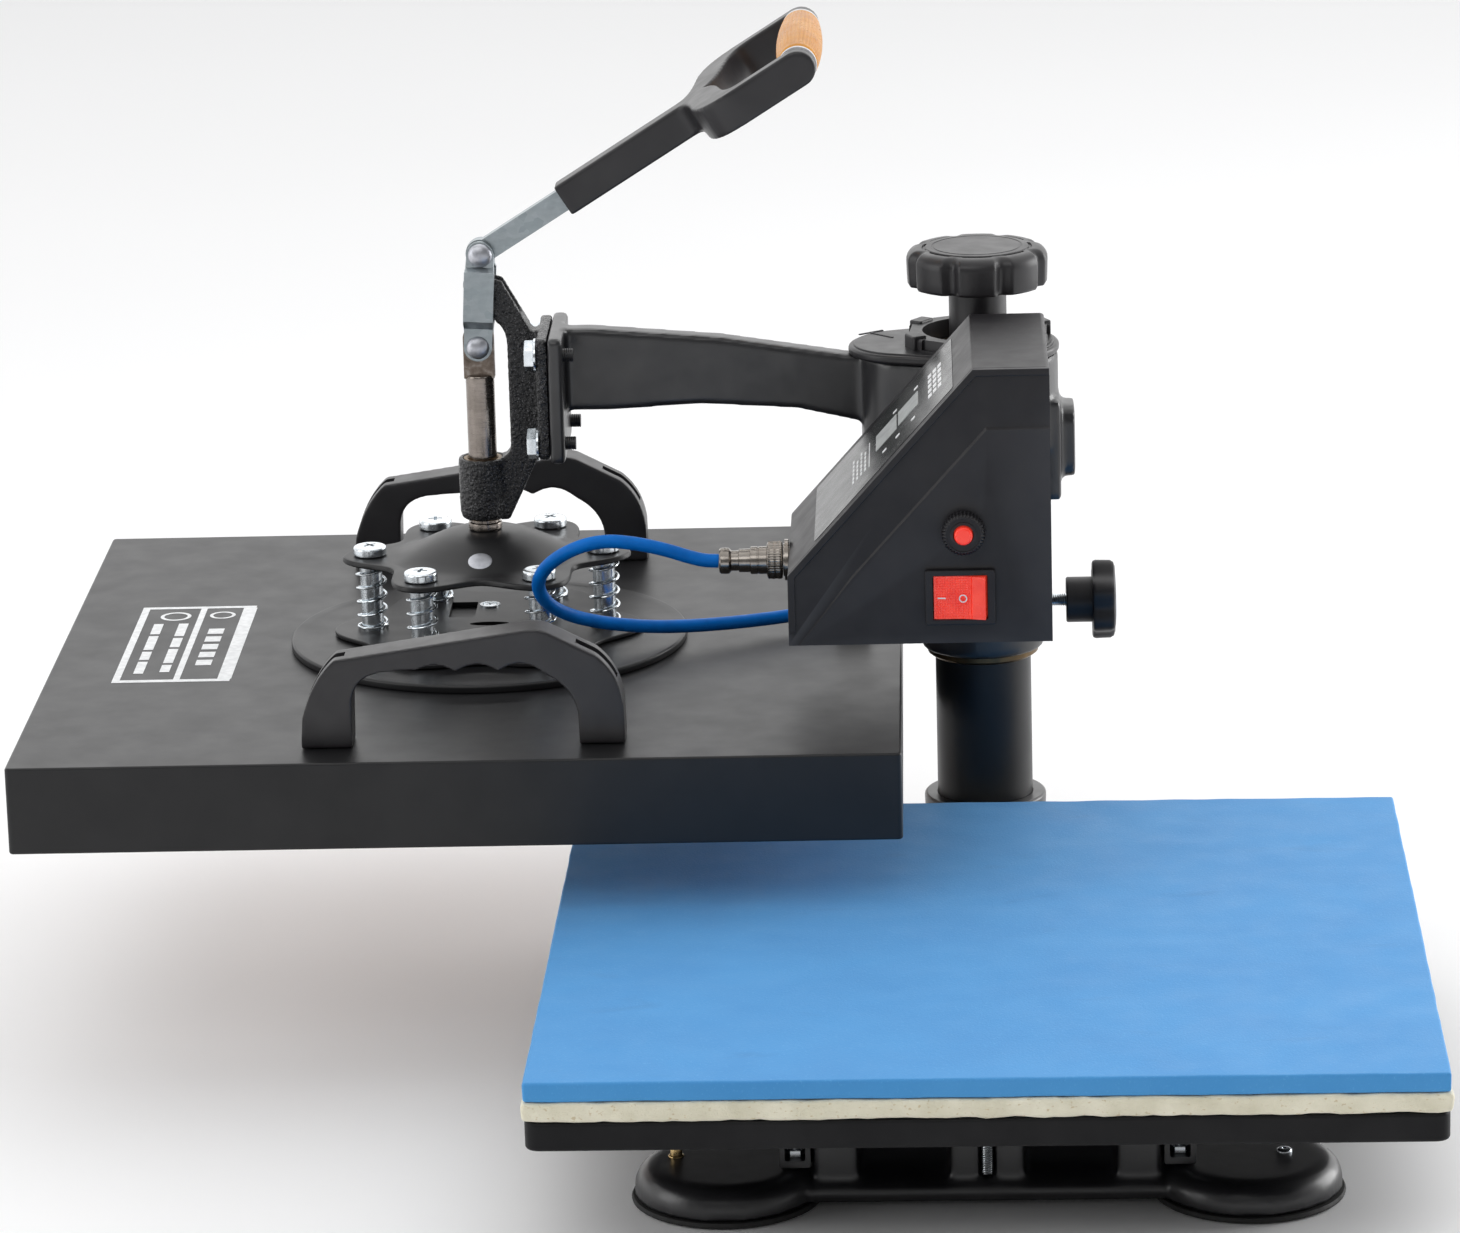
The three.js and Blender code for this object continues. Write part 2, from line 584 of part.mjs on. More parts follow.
function makeLeverGrip(lever) {
  const start = upperPin.x;
  const axis = upperPin.y;
  const plan = extruded(forkOutline(start), 17, 1.6, 6).translate([0, 0, axis - 8.5]);
  const side = uprightPlate(sideOutline(start, axis), -80, 80, 0, 8);
  const reach = start + 112 + GAP;
  const pocket = boxBetween([start + 30, -LEVER_HALF - GAP, axis - 5.5], [reach, LEVER_HALF + GAP, axis + 5.5]);
  const bore = alongY(disc(PIN_BORE, -70, 70, 16)).translate([start + GRIP_END, 0, axis]);
  node(lever, 'lever_grip', cut(plan.intersect(side), [pocket, bore]), BLACK_PLASTIC);
  const rod = alongY(disc(PIN_R, -FORK_OUTER + 1, FORK_OUTER - 1, 16));
  node(lever, 'roller_axle', rod.translate([start + GRIP_END, 0, axis]), ZINC);
  const barrel = alongY(turned([
    [PIN_BORE, -ROLLER_HALF], [9, -ROLLER_HALF], [10.2, -28], [10.7, 0], [10.2, 28], [9, ROLLER_HALF],
    [PIN_BORE, ROLLER_HALF], [PIN_BORE, -ROLLER_HALF],
  ], 24)).translate([start + GRIP_END, 0, axis]);
  node(lever, 'roller_grip', barrel, AMBER);
}

// ---- Toggle links, in a frame at the upper pin whose -Z runs to the lower pin ----

function linkPlate(side) {
  const near = LEVER_HALF + GAP;
  const far = near + 2.7;
  const bulge = 3.8;
  const profile = polygon([
    [near, 7], [far, 7], [far, -5.8], [far + bulge, -7.5], [far + bulge, -31], [far, -35],
    [far, -51], [near, -51], [near, -34], [near + bulge, -30], [near + bulge, -7.8], [near, -6.1],
  ]);
  const strip = extruded(profile, 16).rotate([90, 0, 90]).translate([-8, 0, 0]);
  const outline = new THREE.Shape();
  outline.absarc(0, 0, 6.4, 0, Math.PI, false);
  outline.absarc(0, -LINK_LENGTH, 6.6, Math.PI, 2 * Math.PI, false);
  outline.closePath();
  const plate = strip.intersect(uprightPlate(outline, 0, 20, 0, 8));
  const dome = alongY(turned([[0, 0], [5.6, 0], [4.4, 1.9], [0, 3]], 16)).translate([0, far, -LINK_LENGTH]);
  const bore = alongY(disc(PIN_BORE, -1, 20, 14));
  const made = cut(join([plate, dome.translate([0, -0.2, 0])]), [bore]);
  return side > 0 ? made : made.mirror([0, 1, 0]);
}

function makeLinks(link) {
  node(link, 'link_front', linkPlate(-1), GALVANISED);
  node(link, 'link_rear', linkPlate(1), GALVANISED);
  const seat = LEVER_HALF + GAP + 2.7 + GAP;
  const rivet = alongY(turned([
    [0, -seat - 3], [4.4, -seat - 1.9], [5.6, -seat], [PIN_R, -seat],
    [PIN_R, seat], [5.6, seat], [4.4, seat + 1.9], [0, seat + 3],
  ], 16));
  node(link, 'upper_rivet', rivet, ZINC);
}

function makeToggle() {
  const lever = new THREE.Group();
  lever.position.set(PIVOT.x, 0, PIVOT.y);
  lever.rotation.y = -LEVER_ANGLE;
  head.add(lever);
  makeLeverBar(lever);
  makeLeverGrip(lever);
  const pin = new THREE.Vector2(Math.cos(CRANK_ANGLE), Math.sin(CRANK_ANGLE)).multiplyScalar(CRANK).add(PIVOT);
  const link = new THREE.Group();
  link.position.set(pin.x, 0, pin.y);
  link.rotation.y = Math.asin((pin.x - RAM_X) / LINK_LENGTH);
  head.add(link);
  makeLinks(link);
}

// ---- Ram and floating heater head ----

function makeRam() {
  const shaft = turned([
    [0, 198], [SHAFT_R, 198], [SHAFT_R, 208.4], [7.9, 208.6], [7.9, 211.5], [SHAFT_R, 211.8],
    [SHAFT_R, 283], [0, 283],
  ], 28);
  const tongue = boxBetween([-7.2, -LEVER_HALF, 280], [7.2, LEVER_HALF, 302]);
  const tip = alongY(disc(7.2, -LEVER_HALF, LEVER_HALF, 24)).translate([0, 0, 300]);
  node(head, 'ram_shaft', join([shaft, tongue, tip]).translate([RAM_X, 0, 0]), NICKEL);
}

function boltPlaces() {
  return [0, 1, 2, 3, 4, 5].map((step) => {
    const angle = (Math.PI * step) / 3;
    return [RAM_X + BOLT_CIRCLE * Math.cos(angle), BOLT_CIRCLE * Math.sin(angle)];
  });
}

function boltHoles(radius, low, high) {
  return boltPlaces().map(([x, y]) => disc(radius, low, high, 10).translate([x, y, 0]));
}

function makeSpiders() {
  const star = extruded(lobed(59, 9, 6, 48), SPIDER_TOP - SPIDER_BOTTOM);
  const plate = star.translate([RAM_X, 0, SPIDER_BOTTOM]);
  const dome = turned([
    [7, 208], [17, 207], [29, 202], [43, 195.5], [43, 193.6], [35.5, 193.6], [27, 199.4],
    [15, 204.4], [7, 205.2], [7, 208],
  ], 24).translate([RAM_X, 0, 0]);
  const opening = disc(36.5, 180, 210, 24).translate([RAM_X, 0, 0]);
  const upper = join([cut(plate, [opening]), dome]);
  node(head, 'spider_plate', cut(upper, boltHoles(4.3, 180, 200)), BLACK_COAT);
  const lower = extruded(lobed(67, 6, 6, 48), SPRING_SEAT - DISC_TOP - GAP);
  const seat = lower.translate([RAM_X, 0, DISC_TOP + GAP]);
  const windows = [
    boxBetween([RAM_X - 12, -34, 150], [RAM_X + 1, -22, 170]),
    boxBetween([RAM_X - 12, 20, 150], [RAM_X + 1, 32, 170]),
  ];
  node(head, 'spring_plate', cut(seat, [...windows, ...boltHoles(4.3, 150, 170)]), BLACK_COAT);
  const pressed = turned([
    [0, COVER_TOP + GAP], [93.6, COVER_TOP + GAP], [93.6, DISC_TOP - 0.9], [92.6, DISC_TOP], [0, DISC_TOP],
  ], 40);
  node(head, 'cover_disc', pressed.translate([RAM_X, 0, 0]), BLACK_COAT);
}

function makeFloatBolts() {
  boltPlaces().forEach(([x, y], index) => {
    const seat = SPIDER_TOP + GAP;
    const bolt = turned([
      [0, DISC_TOP + 0.5], [3.9, DISC_TOP + 0.5], [3.9, seat], [7.5, seat], [7.5, seat + 3.1],
      [5.5, seat + 5.1], [0, seat + 5.1],
    ], 12);
    node(head, `float_bolt_${index + 1}`, bolt.translate([x, y, 0]), ZINC);
    node(head, `float_spring_${index + 1}`, coil(x, y), ZINC);
  });
}

class Helix extends THREE.Curve {
  constructor(radius, low, high, turns) {
    super();
    Object.assign(this, { radius, low, high, turns });
  }

  getPoint(t, target = new THREE.Vector3()) {
    const angle = 2 * Math.PI * this.turns * t;
    const height = this.low + (this.high - this.low) * t;
    return target.set(this.radius * Math.cos(angle), this.radius * Math.sin(angle), height);
  }
}

function coil(x, y) {
  const wire = 0.75;
  const turns = 5.5;
  const path = new Helix(6.2, SPRING_SEAT + wire + GAP, SPIDER_BOTTOM - wire - GAP, turns);
  const section = new THREE.Shape();
  section.absarc(0, 0, wire, 0, 2 * Math.PI);
  const settings = { steps: 8 * turns, curveSegments: 2, bevelEnabled: false, extrudePath: path };
  return solid(new THREE.ExtrudeGeometry(section, settings)).translate([x, y, 0]);
}

function makeCover() {
  const low = COVER_TOP - COVER_HEIGHT;
  const skin = 2;
  const at = [COVER_X, 0, 0];
  const outer = slab(COVER_SIZE, COVER_SIZE, low, COVER_TOP, 3, 1.2);
  const half = COVER_SIZE / 2 - skin;
  const hollow = boxBetween([-half, -half, low - 5], [half, half, COVER_TOP - skin]);
  node(head, 'head_cover', cut(outer, [hollow]).translate(at), BLACK_COAT);
  node(head, 'heater_plate', slab(PAD_SIZE, PAD_SIZE, low - 1.8, 126, 4, 1).translate(at), ALUMINIUM);
  node(head, 'insulation_mat', boxBetween([-186, -186, 126.3], [186, 186, 146]).translate(at), WOOL);
}

function handleOutline() {
  const shape = new THREE.Shape();
  shape.moveTo(-72.5, 0);
  shape.lineTo(-71.5, 14);
  shape.quadraticCurveTo(-66, 34, -54, 42.5);
  shape.lineTo(28, 53);
  shape.quadraticCurveTo(34, 54, 40, 51.5);
  shape.lineTo(60, 41);
  shape.quadraticCurveTo(70, 33, 72, 19);
  shape.lineTo(72.5, 0);
  shape.lineTo(52, 0);
  shape.lineTo(51.5, 14);
  shape.quadraticCurveTo(50, 27, 36, 33.5);
  for (const x of [17, -2, -21]) {
    shape.quadraticCurveTo(x + 9.5, 40, x, 34.5);
  }
  shape.lineTo(-33, 35);
  shape.quadraticCurveTo(-48.5, 34, -49.2, 20);
  shape.lineTo(-49.5, 0);
  return shape;
}

function makeHandles() {
  for (const [name, x, y] of [['handle_front', -233.5, -168.5], ['handle_rear', -236, 145]]) {
    const loop = uprightPlate(handleOutline(), -9, 9, 3, 4);
    node(head, name, loop.translate([x, y, COVER_TOP + GAP]), BLACK_PLASTIC);
  }
}

makeBase();
makeFeet();
makeColumn();
makeBed();
makeCarriage();
makePressureKnob();
makeArm();
makeHubLid();
makeHeadBracket();
makeControlBox();
makeSwitch();
makeBreaker();
makeCable();
makeClamp();
makeToggle();
makeRam();
makeSpiders();
makeFloatBolts();
makeCover();
makeHandles();

export default press;
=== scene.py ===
"""Looks of the swing-away heat press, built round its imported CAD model.

Shapes are in millimetres, each in the frame of the part that it belongs to: the press, the head,
the lever or the toggle links. piece() turns them into metres and puts them in place.
"""

import math

import bpy
from mathutils import Matrix, Vector, noise


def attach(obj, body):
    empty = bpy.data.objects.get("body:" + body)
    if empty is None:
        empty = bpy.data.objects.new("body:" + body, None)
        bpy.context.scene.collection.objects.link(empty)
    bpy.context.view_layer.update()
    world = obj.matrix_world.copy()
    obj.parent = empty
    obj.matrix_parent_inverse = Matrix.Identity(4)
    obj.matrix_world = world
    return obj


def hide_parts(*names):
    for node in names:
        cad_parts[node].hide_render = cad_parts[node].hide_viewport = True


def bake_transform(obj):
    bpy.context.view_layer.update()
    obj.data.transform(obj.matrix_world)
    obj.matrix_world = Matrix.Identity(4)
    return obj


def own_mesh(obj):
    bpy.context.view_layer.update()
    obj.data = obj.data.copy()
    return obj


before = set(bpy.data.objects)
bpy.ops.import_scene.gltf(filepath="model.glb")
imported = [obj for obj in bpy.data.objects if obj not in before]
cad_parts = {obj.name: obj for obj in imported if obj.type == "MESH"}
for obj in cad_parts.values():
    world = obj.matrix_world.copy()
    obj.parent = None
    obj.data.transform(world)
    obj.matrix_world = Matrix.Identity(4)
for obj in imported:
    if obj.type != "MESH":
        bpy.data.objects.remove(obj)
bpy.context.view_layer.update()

MM = 0.001
TAU = 2 * math.pi

# ---- Frames ----


def rotation(angle, axis):
    return Matrix.Rotation(math.radians(angle), 4, axis)


def shift(x, y, z):
    return Matrix.Translation((x, y, z))


PRESS = Matrix.Identity(4)
HEAD = rotation(0.73, "Z")
RAM_X = -233
PIVOT = (-232, 325.8)
CRANK = 14.7
CRANK_ANGLE = math.radians(84)
LEVER_ANGLE = 32
LINK_LENGTH = 44
PIN_BORE = 3.3
LEVER = HEAD @ shift(PIVOT[0], 0, PIVOT[1]) @ rotation(-LEVER_ANGLE, "Y")
UPPER_PIN = (PIVOT[0] + CRANK * math.cos(CRANK_ANGLE), PIVOT[1] + CRANK * math.sin(CRANK_ANGLE))
LINK_LEAN = math.degrees(math.asin((UPPER_PIN[0] - RAM_X) / LINK_LENGTH))
LINK = HEAD @ shift(UPPER_PIN[0], 0, UPPER_PIN[1]) @ rotation(LINK_LEAN, "Y")


def extent(node, place=PRESS):
    """A CAD node's lowest and highest corner in millimetres, in one of the frames above."""
    back = place.inverted()
    points = [back @ (vertex.co / MM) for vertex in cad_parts[node].data.vertices]
    low = Vector(min(point[axis] for point in points) for axis in range(3))
    high = Vector(max(point[axis] for point in points) for axis in range(3))
    return low, high


def middle(low, high):
    return (low + high) / 2


# ---- Outlines ----


def arc(centre, radius, start, end, steps=12):
    angles = [math.radians(start + (end - start) * step / steps) for step in range(steps + 1)]
    return [(centre[0] + radius * math.cos(a), centre[1] + radius * math.sin(a)) for a in angles]


def bezier(points, steps=10):
    """A quadratic or cubic curve, without its first point."""
    made = []
    for step in range(1, steps + 1):
        level = [Vector(point) for point in points]
        while len(level) > 1:
            level = [a.lerp(b, step / steps) for a, b in zip(level, level[1:])]
        made.append(tuple(level[0]))
    return made


def rounded(corners, radius, steps=6):
    made = []
    for index, corner in enumerate(corners):
        here = Vector(corner)
        before = Vector(corners[index - 1]) - here
        after = Vector(corners[(index + 1) % len(corners)]) - here
        half = before.angle(after) / 2
        reach = min(radius / math.tan(half), 0.49 * before.length, 0.49 * after.length)
        start = here + before.normalized() * reach
        end = here + after.normalized() * reach
        made += [tuple(start)] + bezier([start, here, end], steps)
    return made


def rectangle(low_x, low_y, high_x, high_y, radius=0.0):
    corners = [(low_x, low_y), (high_x, low_y), (high_x, high_y), (low_x, high_y)]
    return rounded(corners, radius) if radius else corners


def circle(reach, height, steps):
    """Points round the Z axis, at a radius or at reach(angle)."""
    made = []
    for step in range(steps):
        angle = TAU * step / steps
        radius = reach(angle) if callable(reach) else reach
        made.append((radius * math.cos(angle), radius * math.sin(angle), height))
    return made


def waved(radius, swing, waves):
    """The reach of an outline with this many lobes."""
    return lambda angle: radius + swing * math.cos(waves * angle)


def lobed(radius, swing, lobes, points=144):
    return [point[:2] for point in circle(waved(radius, swing, lobes), 0, points)]


def teardrop(big, small, distance):
    """Two circles joined by their tangents, with the small one towards -X."""
    lean = math.degrees(math.asin((big - small) / distance))
    right = arc((0, 0), big, -90 - lean, 90 + lean, 40)
    return right + arc((-distance, 0), small, 90 + lean, 270 - lean, 24)


def inset(outline, distance):
    """An anticlockwise outline with every side moved inwards."""
    made = []
    count = len(outline)
    for index in range(count):
        before, here, after = (Vector(outline[(index + step) % count]) for step in (-1, 0, 1))
        first = (here - before).normalized()
        second = (after - here).normalized()
        inward_1 = Vector((-first.y, first.x))
        inward_2 = Vector((-second.y, second.x))
        spread = max(1 + inward_1.dot(inward_2), 0.2)
        made.append(tuple(here + (inward_1 + inward_2) * (distance / spread)))
    return made


# ---- Shapes: a list of points and a list of faces ----


def skin(rings, loop=False):
    """Rings of equal length joined into one closed body, capped at both ends unless they loop."""
    count = len(rings[0])
    points = [point for ring in rings for point in ring]
    levels = [(level, level + 1) for level in range(len(rings) - 1)]
    faces = []
    if loop:
        levels.append((len(rings) - 1, 0))
    else:
        last = (len(rings) - 1) * count
        faces = [tuple(reversed(range(count))), tuple(range(last, last + count))]
    for low, high in levels:
        for i in range(count):
            j = (i + 1) % count
            faces.append((low * count + i, low * count + j, high * count + j, high * count + i))
    return points, faces


def extrude(outline, low, high, bevel=0.0, steps=4):
    if not bevel:
        return skin([[(x, y, z) for x, y in outline] for z in (low, high)])
    turns = [math.radians(90 * step / steps) for step in range(steps + 1)]
    levels = [(bevel * (1 - math.sin(turn)), bevel * (1 - math.cos(turn))) for turn in turns]
    rings = [[(x, y, low + rise) for x, y in inset(outline, move)] for move, rise in levels]
    rings += [[(x, y, high - rise) for x, y in inset(outline, move)] for move, rise in reversed(levels)]
    return skin(rings)


def moved(shape, matrix):
    points, faces = shape
    made = [tuple(matrix @ Vector(point)) for point in points]
    if matrix.determinant() < 0:
        faces = [tuple(reversed(face)) for face in faces]
    return made, faces


def upright(outline, y_low, y_high, bevel=0.0):
    """An outline in X and Z, given thickness along Y."""
    return moved(extrude(outline, -y_high, -y_low, bevel), rotation(90, "X"))


def crosswise(outline, x_low, x_high, bevel=0.0):
    """An outline in Y and Z, given thickness along X."""
    turn = Matrix(((0, 0, 1, 0), (1, 0, 0, 0), (0, 1, 0, 0), (0, 0, 0, 1)))
    return moved(extrude(outline, x_low, x_high, bevel), turn)


def along_x(shape):
    return moved(shape, rotation(90, "Y"))


def along_y(shape):
    return moved(shape, rotation(-90, "X"))


def at(shape, x, y, z):
    return moved(shape, shift(x, y, z))


def block(low, high, bevel=0.0):
    return extrude(rectangle(low[0], low[1], high[0], high[1]), low[2], high[2], bevel)


def together(*shapes):
    points = []
    faces = []
    for more_points, more_faces in shapes:
        start = len(points)
        points += more_points
        faces += [tuple(start + index for index in face) for face in more_faces]
    return points, faces


def revolve(profile, steps=96):
    """A profile from the bottom outwards and up, as (radius, height), capped flat at both ends."""
    return skin([circle(radius, height, steps) for radius, height in profile])


def hoop(profile, steps=96):
    """A closed profile swept round the Z axis."""
    pairs = zip(profile, profile[1:] + profile[:1])
    if sum(a[0] * b[1] - b[0] * a[1] for a, b in pairs) < 0:
        profile = profile[::-1]
    return skin([circle(radius, height, steps) for radius, height in profile], loop=True)


def disc(radius, low, high, bevel=0.0, steps=96):
    if not bevel:
        return revolve([(radius, low), (radius, high)], steps)
    bottom = arc((radius - bevel, low + bevel), bevel, -90, 0, 4)
    top = arc((radius - bevel, high - bevel), bevel, 0, 90, 4)
    return revolve(bottom + top, steps)


def polar(reach, levels, steps=160):
    """A body whose outline is reach(angle); levels are pairs of how far inside it, and height."""
    return skin([circle(lambda angle: reach(angle) - inside, height, steps) for inside, height in levels])


def tube(path, radius, sides=24):
    points = [Vector(point) for point in path]
    rings = []
    across = None
    for index, point in enumerate(points):
        ahead = points[min(index + 1, len(points) - 1)]
        behind = points[max(index - 1, 0)]
        along = (ahead - behind).normalized()
        if across is None:
            across = along.orthogonal()
        across = (across - along * across.dot(along)).normalized()
        side = along.cross(across)
        turns = [TAU * step / sides for step in range(sides)]
        rings.append([tuple(point + (across * math.cos(t) + side * math.sin(t)) * radius) for t in turns])
    return skin(rings)


def threaded(radius, pitch, low, high, sides=36):
    """A rod with a helical thread."""
    depth = 0.3 * pitch
    levels = round((high - low) / pitch * 4)
    rings = []
    for level in range(levels + 1):
        height = low + (high - low) * level / levels

        def reach(angle):
            phase = (height / pitch - angle / TAU) % 1
            return radius - depth * (1 - abs(2 * phase - 1))

        rings.append(circle(reach, height, sides))
    return skin(rings)


def smooth_path(route, steps=6):
    """A centripetal Catmull-Rom curve through the route's points."""
    points = [Vector(point) for point in route]
    points = [2 * points[0] - points[1]] + points + [2 * points[-1] - points[-2]]
    made = [tuple(points[1])]
    for a, b, c, d in zip(points, points[1:], points[2:], points[3:]):
        knots = [0.0]
        for start, end in ((a, b), (b, c), (c, d)):
            knots.append(knots[-1] + math.sqrt((end - start).length))
        for step in range(1, steps + 1):
            t = knots[1] + (knots[2] - knots[1]) * step / steps
            sides = [mixed_point(*pair, t) for pair in zip((a, b, c), (b, c, d), knots, knots[1:])]
            halves = [mixed_point(*pair, t) for pair in zip(sides, sides[1:], knots, knots[2:])]
            made.append(tuple(mixed_point(*halves, knots[1], knots[2], t)))
    return made


def mixed_point(start, end, low, high, t):
    """The point between start, which is met at low, and end, which is met at high."""
    return start.lerp(end, (t - low) / (high - low))


def ticks(low, high, bevel, step):
    """Places along one axis of a soft block, close together at its rounded edges."""
    edge = [bevel * (1 - math.cos(math.radians(90 * part / 4))) for part in range(4)]
    inner = max(round((high - low - 2 * bevel) / step), 1)
    middle = [low + bevel + (high - low - 2 * bevel) * part / inner for part in range(inner + 1)]
    return [low + move for move in edge] + middle + [high - move for move in reversed(edge)]


def soft_block(low, high, bevel, step):
    """A block with round edges, made of a grid that is fine enough to be shaped."""
    axes = [ticks(low[axis], high[axis], bevel, step) for axis in range(3)]
    inner_low = [value + bevel for value in low]
    inner_high = [value - bevel for value in high]
    points = []
    places = {}

    def corner(key):
        if key not in places:
            flat = Vector(axes[axis][key[axis]] for axis in range(3))
            core = Vector(min(max(flat[a], inner_low[a]), inner_high[a]) for a in range(3))
            places[key] = len(points)
            points.append(tuple(core + (flat - core).normalized() * bevel))
        return places[key]

    faces = []
    for axis in range(3):
        u, v = (axis + 1) % 3, (axis + 2) % 3
        for side in (0, len(axes[axis]) - 1):
            for i in range(len(axes[u]) - 1):
                for j in range(len(axes[v]) - 1):
                    face = []
                    for step_u, step_v in ((0, 0), (1, 0), (1, 1), (0, 1)):
                        key = [0, 0, 0]
                        key[axis], key[u], key[v] = side, i + step_u, j + step_v
                        face.append(corner(tuple(key)))
                    faces.append(tuple(face) if side else tuple(reversed(face)))
    return points, faces


# ---- Work on shapes by modifiers ----


def workpiece(shape):
    mesh = bpy.data.meshes.new("workpiece")
    mesh.from_pydata(shape[0], [], shape[1])
    made = bpy.data.objects.new("workpiece", mesh)
    bpy.context.scene.collection.objects.link(made)
    return made


def discard(made):
    mesh = made.data
    bpy.data.objects.remove(made)
    bpy.data.meshes.remove(mesh)


def settle(made):
    """The shape that the workpiece's modifiers give; the workpiece itself is removed."""
    depsgraph = bpy.context.evaluated_depsgraph_get()
    mesh = bpy.data.meshes.new_from_object(made.evaluated_get(depsgraph))
    points = [tuple(vertex.co) for vertex in mesh.vertices]
    faces = [tuple(face.vertices) for face in mesh.polygons]
    bpy.data.meshes.remove(mesh)
    discard(made)
    return points, faces


def combined(shape, others, operation, solver):
    made = workpiece(shape)
    tools = [workpiece(other) for other in others]
    for tool in tools:
        modifier = made.modifiers.new("combine", "BOOLEAN")
        modifier.operation = operation
        modifier.solver = solver
        modifier.object = tool
    shape = settle(made)
    for tool in tools:
        discard(tool)
    return shape


def join(shape, *others):
    return combined(shape, others, "UNION", "MANIFOLD")


def cut(shape, *tools):
    return combined(shape, tools, "DIFFERENCE", "EXACT")


def common(shape, other, solver="EXACT"):
    return combined(shape, [other], "INTERSECT", solver)


def carved(shape, tools):
    """The same cut as cut() makes, but quicker; both sides have to be closed."""
    return combined(shape, tools, "DIFFERENCE", "MANIFOLD")


def bevelled(shape, width, segments=2, angle=35):
    made = workpiece(shape)
    modifier = made.modifiers.new("bevel", "BEVEL")
    modifier.width = width
    modifier.segments = segments
    modifier.limit_method = "ANGLE"
    modifier.angle_limit = math.radians(angle)
    return settle(made)


def cast(shape, voxel, passes):
    """The shape as a casting or moulding: one skin, with all its edges and corners softened."""
    made = workpiece(shape)
    remesh = made.modifiers.new("remesh", "REMESH")
    remesh.mode = "VOXEL"
    remesh.voxel_size = voxel
    soften = made.modifiers.new("soften", "SMOOTH")
    soften.factor = 0.5
    soften.iterations = passes
    return settle(made)


def new_object(name, data):
    made = bpy.data.objects.new(name, data)
    bpy.context.scene.collection.objects.link(made)
    return made


def lump(mesh, height, size):
    """Moves each point along its normal by a little noise."""
    normals = [vertex.normal.copy() for vertex in mesh.vertices]
    for vertex, normal in zip(mesh.vertices, normals):
        rise = noise.noise(vertex.co / (size * MM))
        vertex.co += normal * rise * height * MM


def mesh_object(name, shape, look, place=PRESS, sharp=35, lumps=None):
    mesh = bpy.data.meshes.new(name)
    mesh.from_pydata([(place @ Vector(point)) * MM for point in shape[0]], [], shape[1])
    if lumps:
        lump(mesh, *lumps)
    mesh.shade_smooth()
    mesh.set_sharp_from_angle(angle=math.radians(sharp))
    mesh.materials.append(look)
    made = new_object(name, mesh)
    weigh = made.modifiers.new("weigh", "WEIGHTED_NORMAL")
    weigh.keep_sharp = True
    return made


def piece(name, shape, look, body, place=PRESS, replaces=(), sharp=35, lumps=None):
    made = mesh_object(name, shape, look, place, sharp, lumps)
    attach(made, body)
    if replaces:
        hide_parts(*replaces)
    return made


# ---- Materials ----


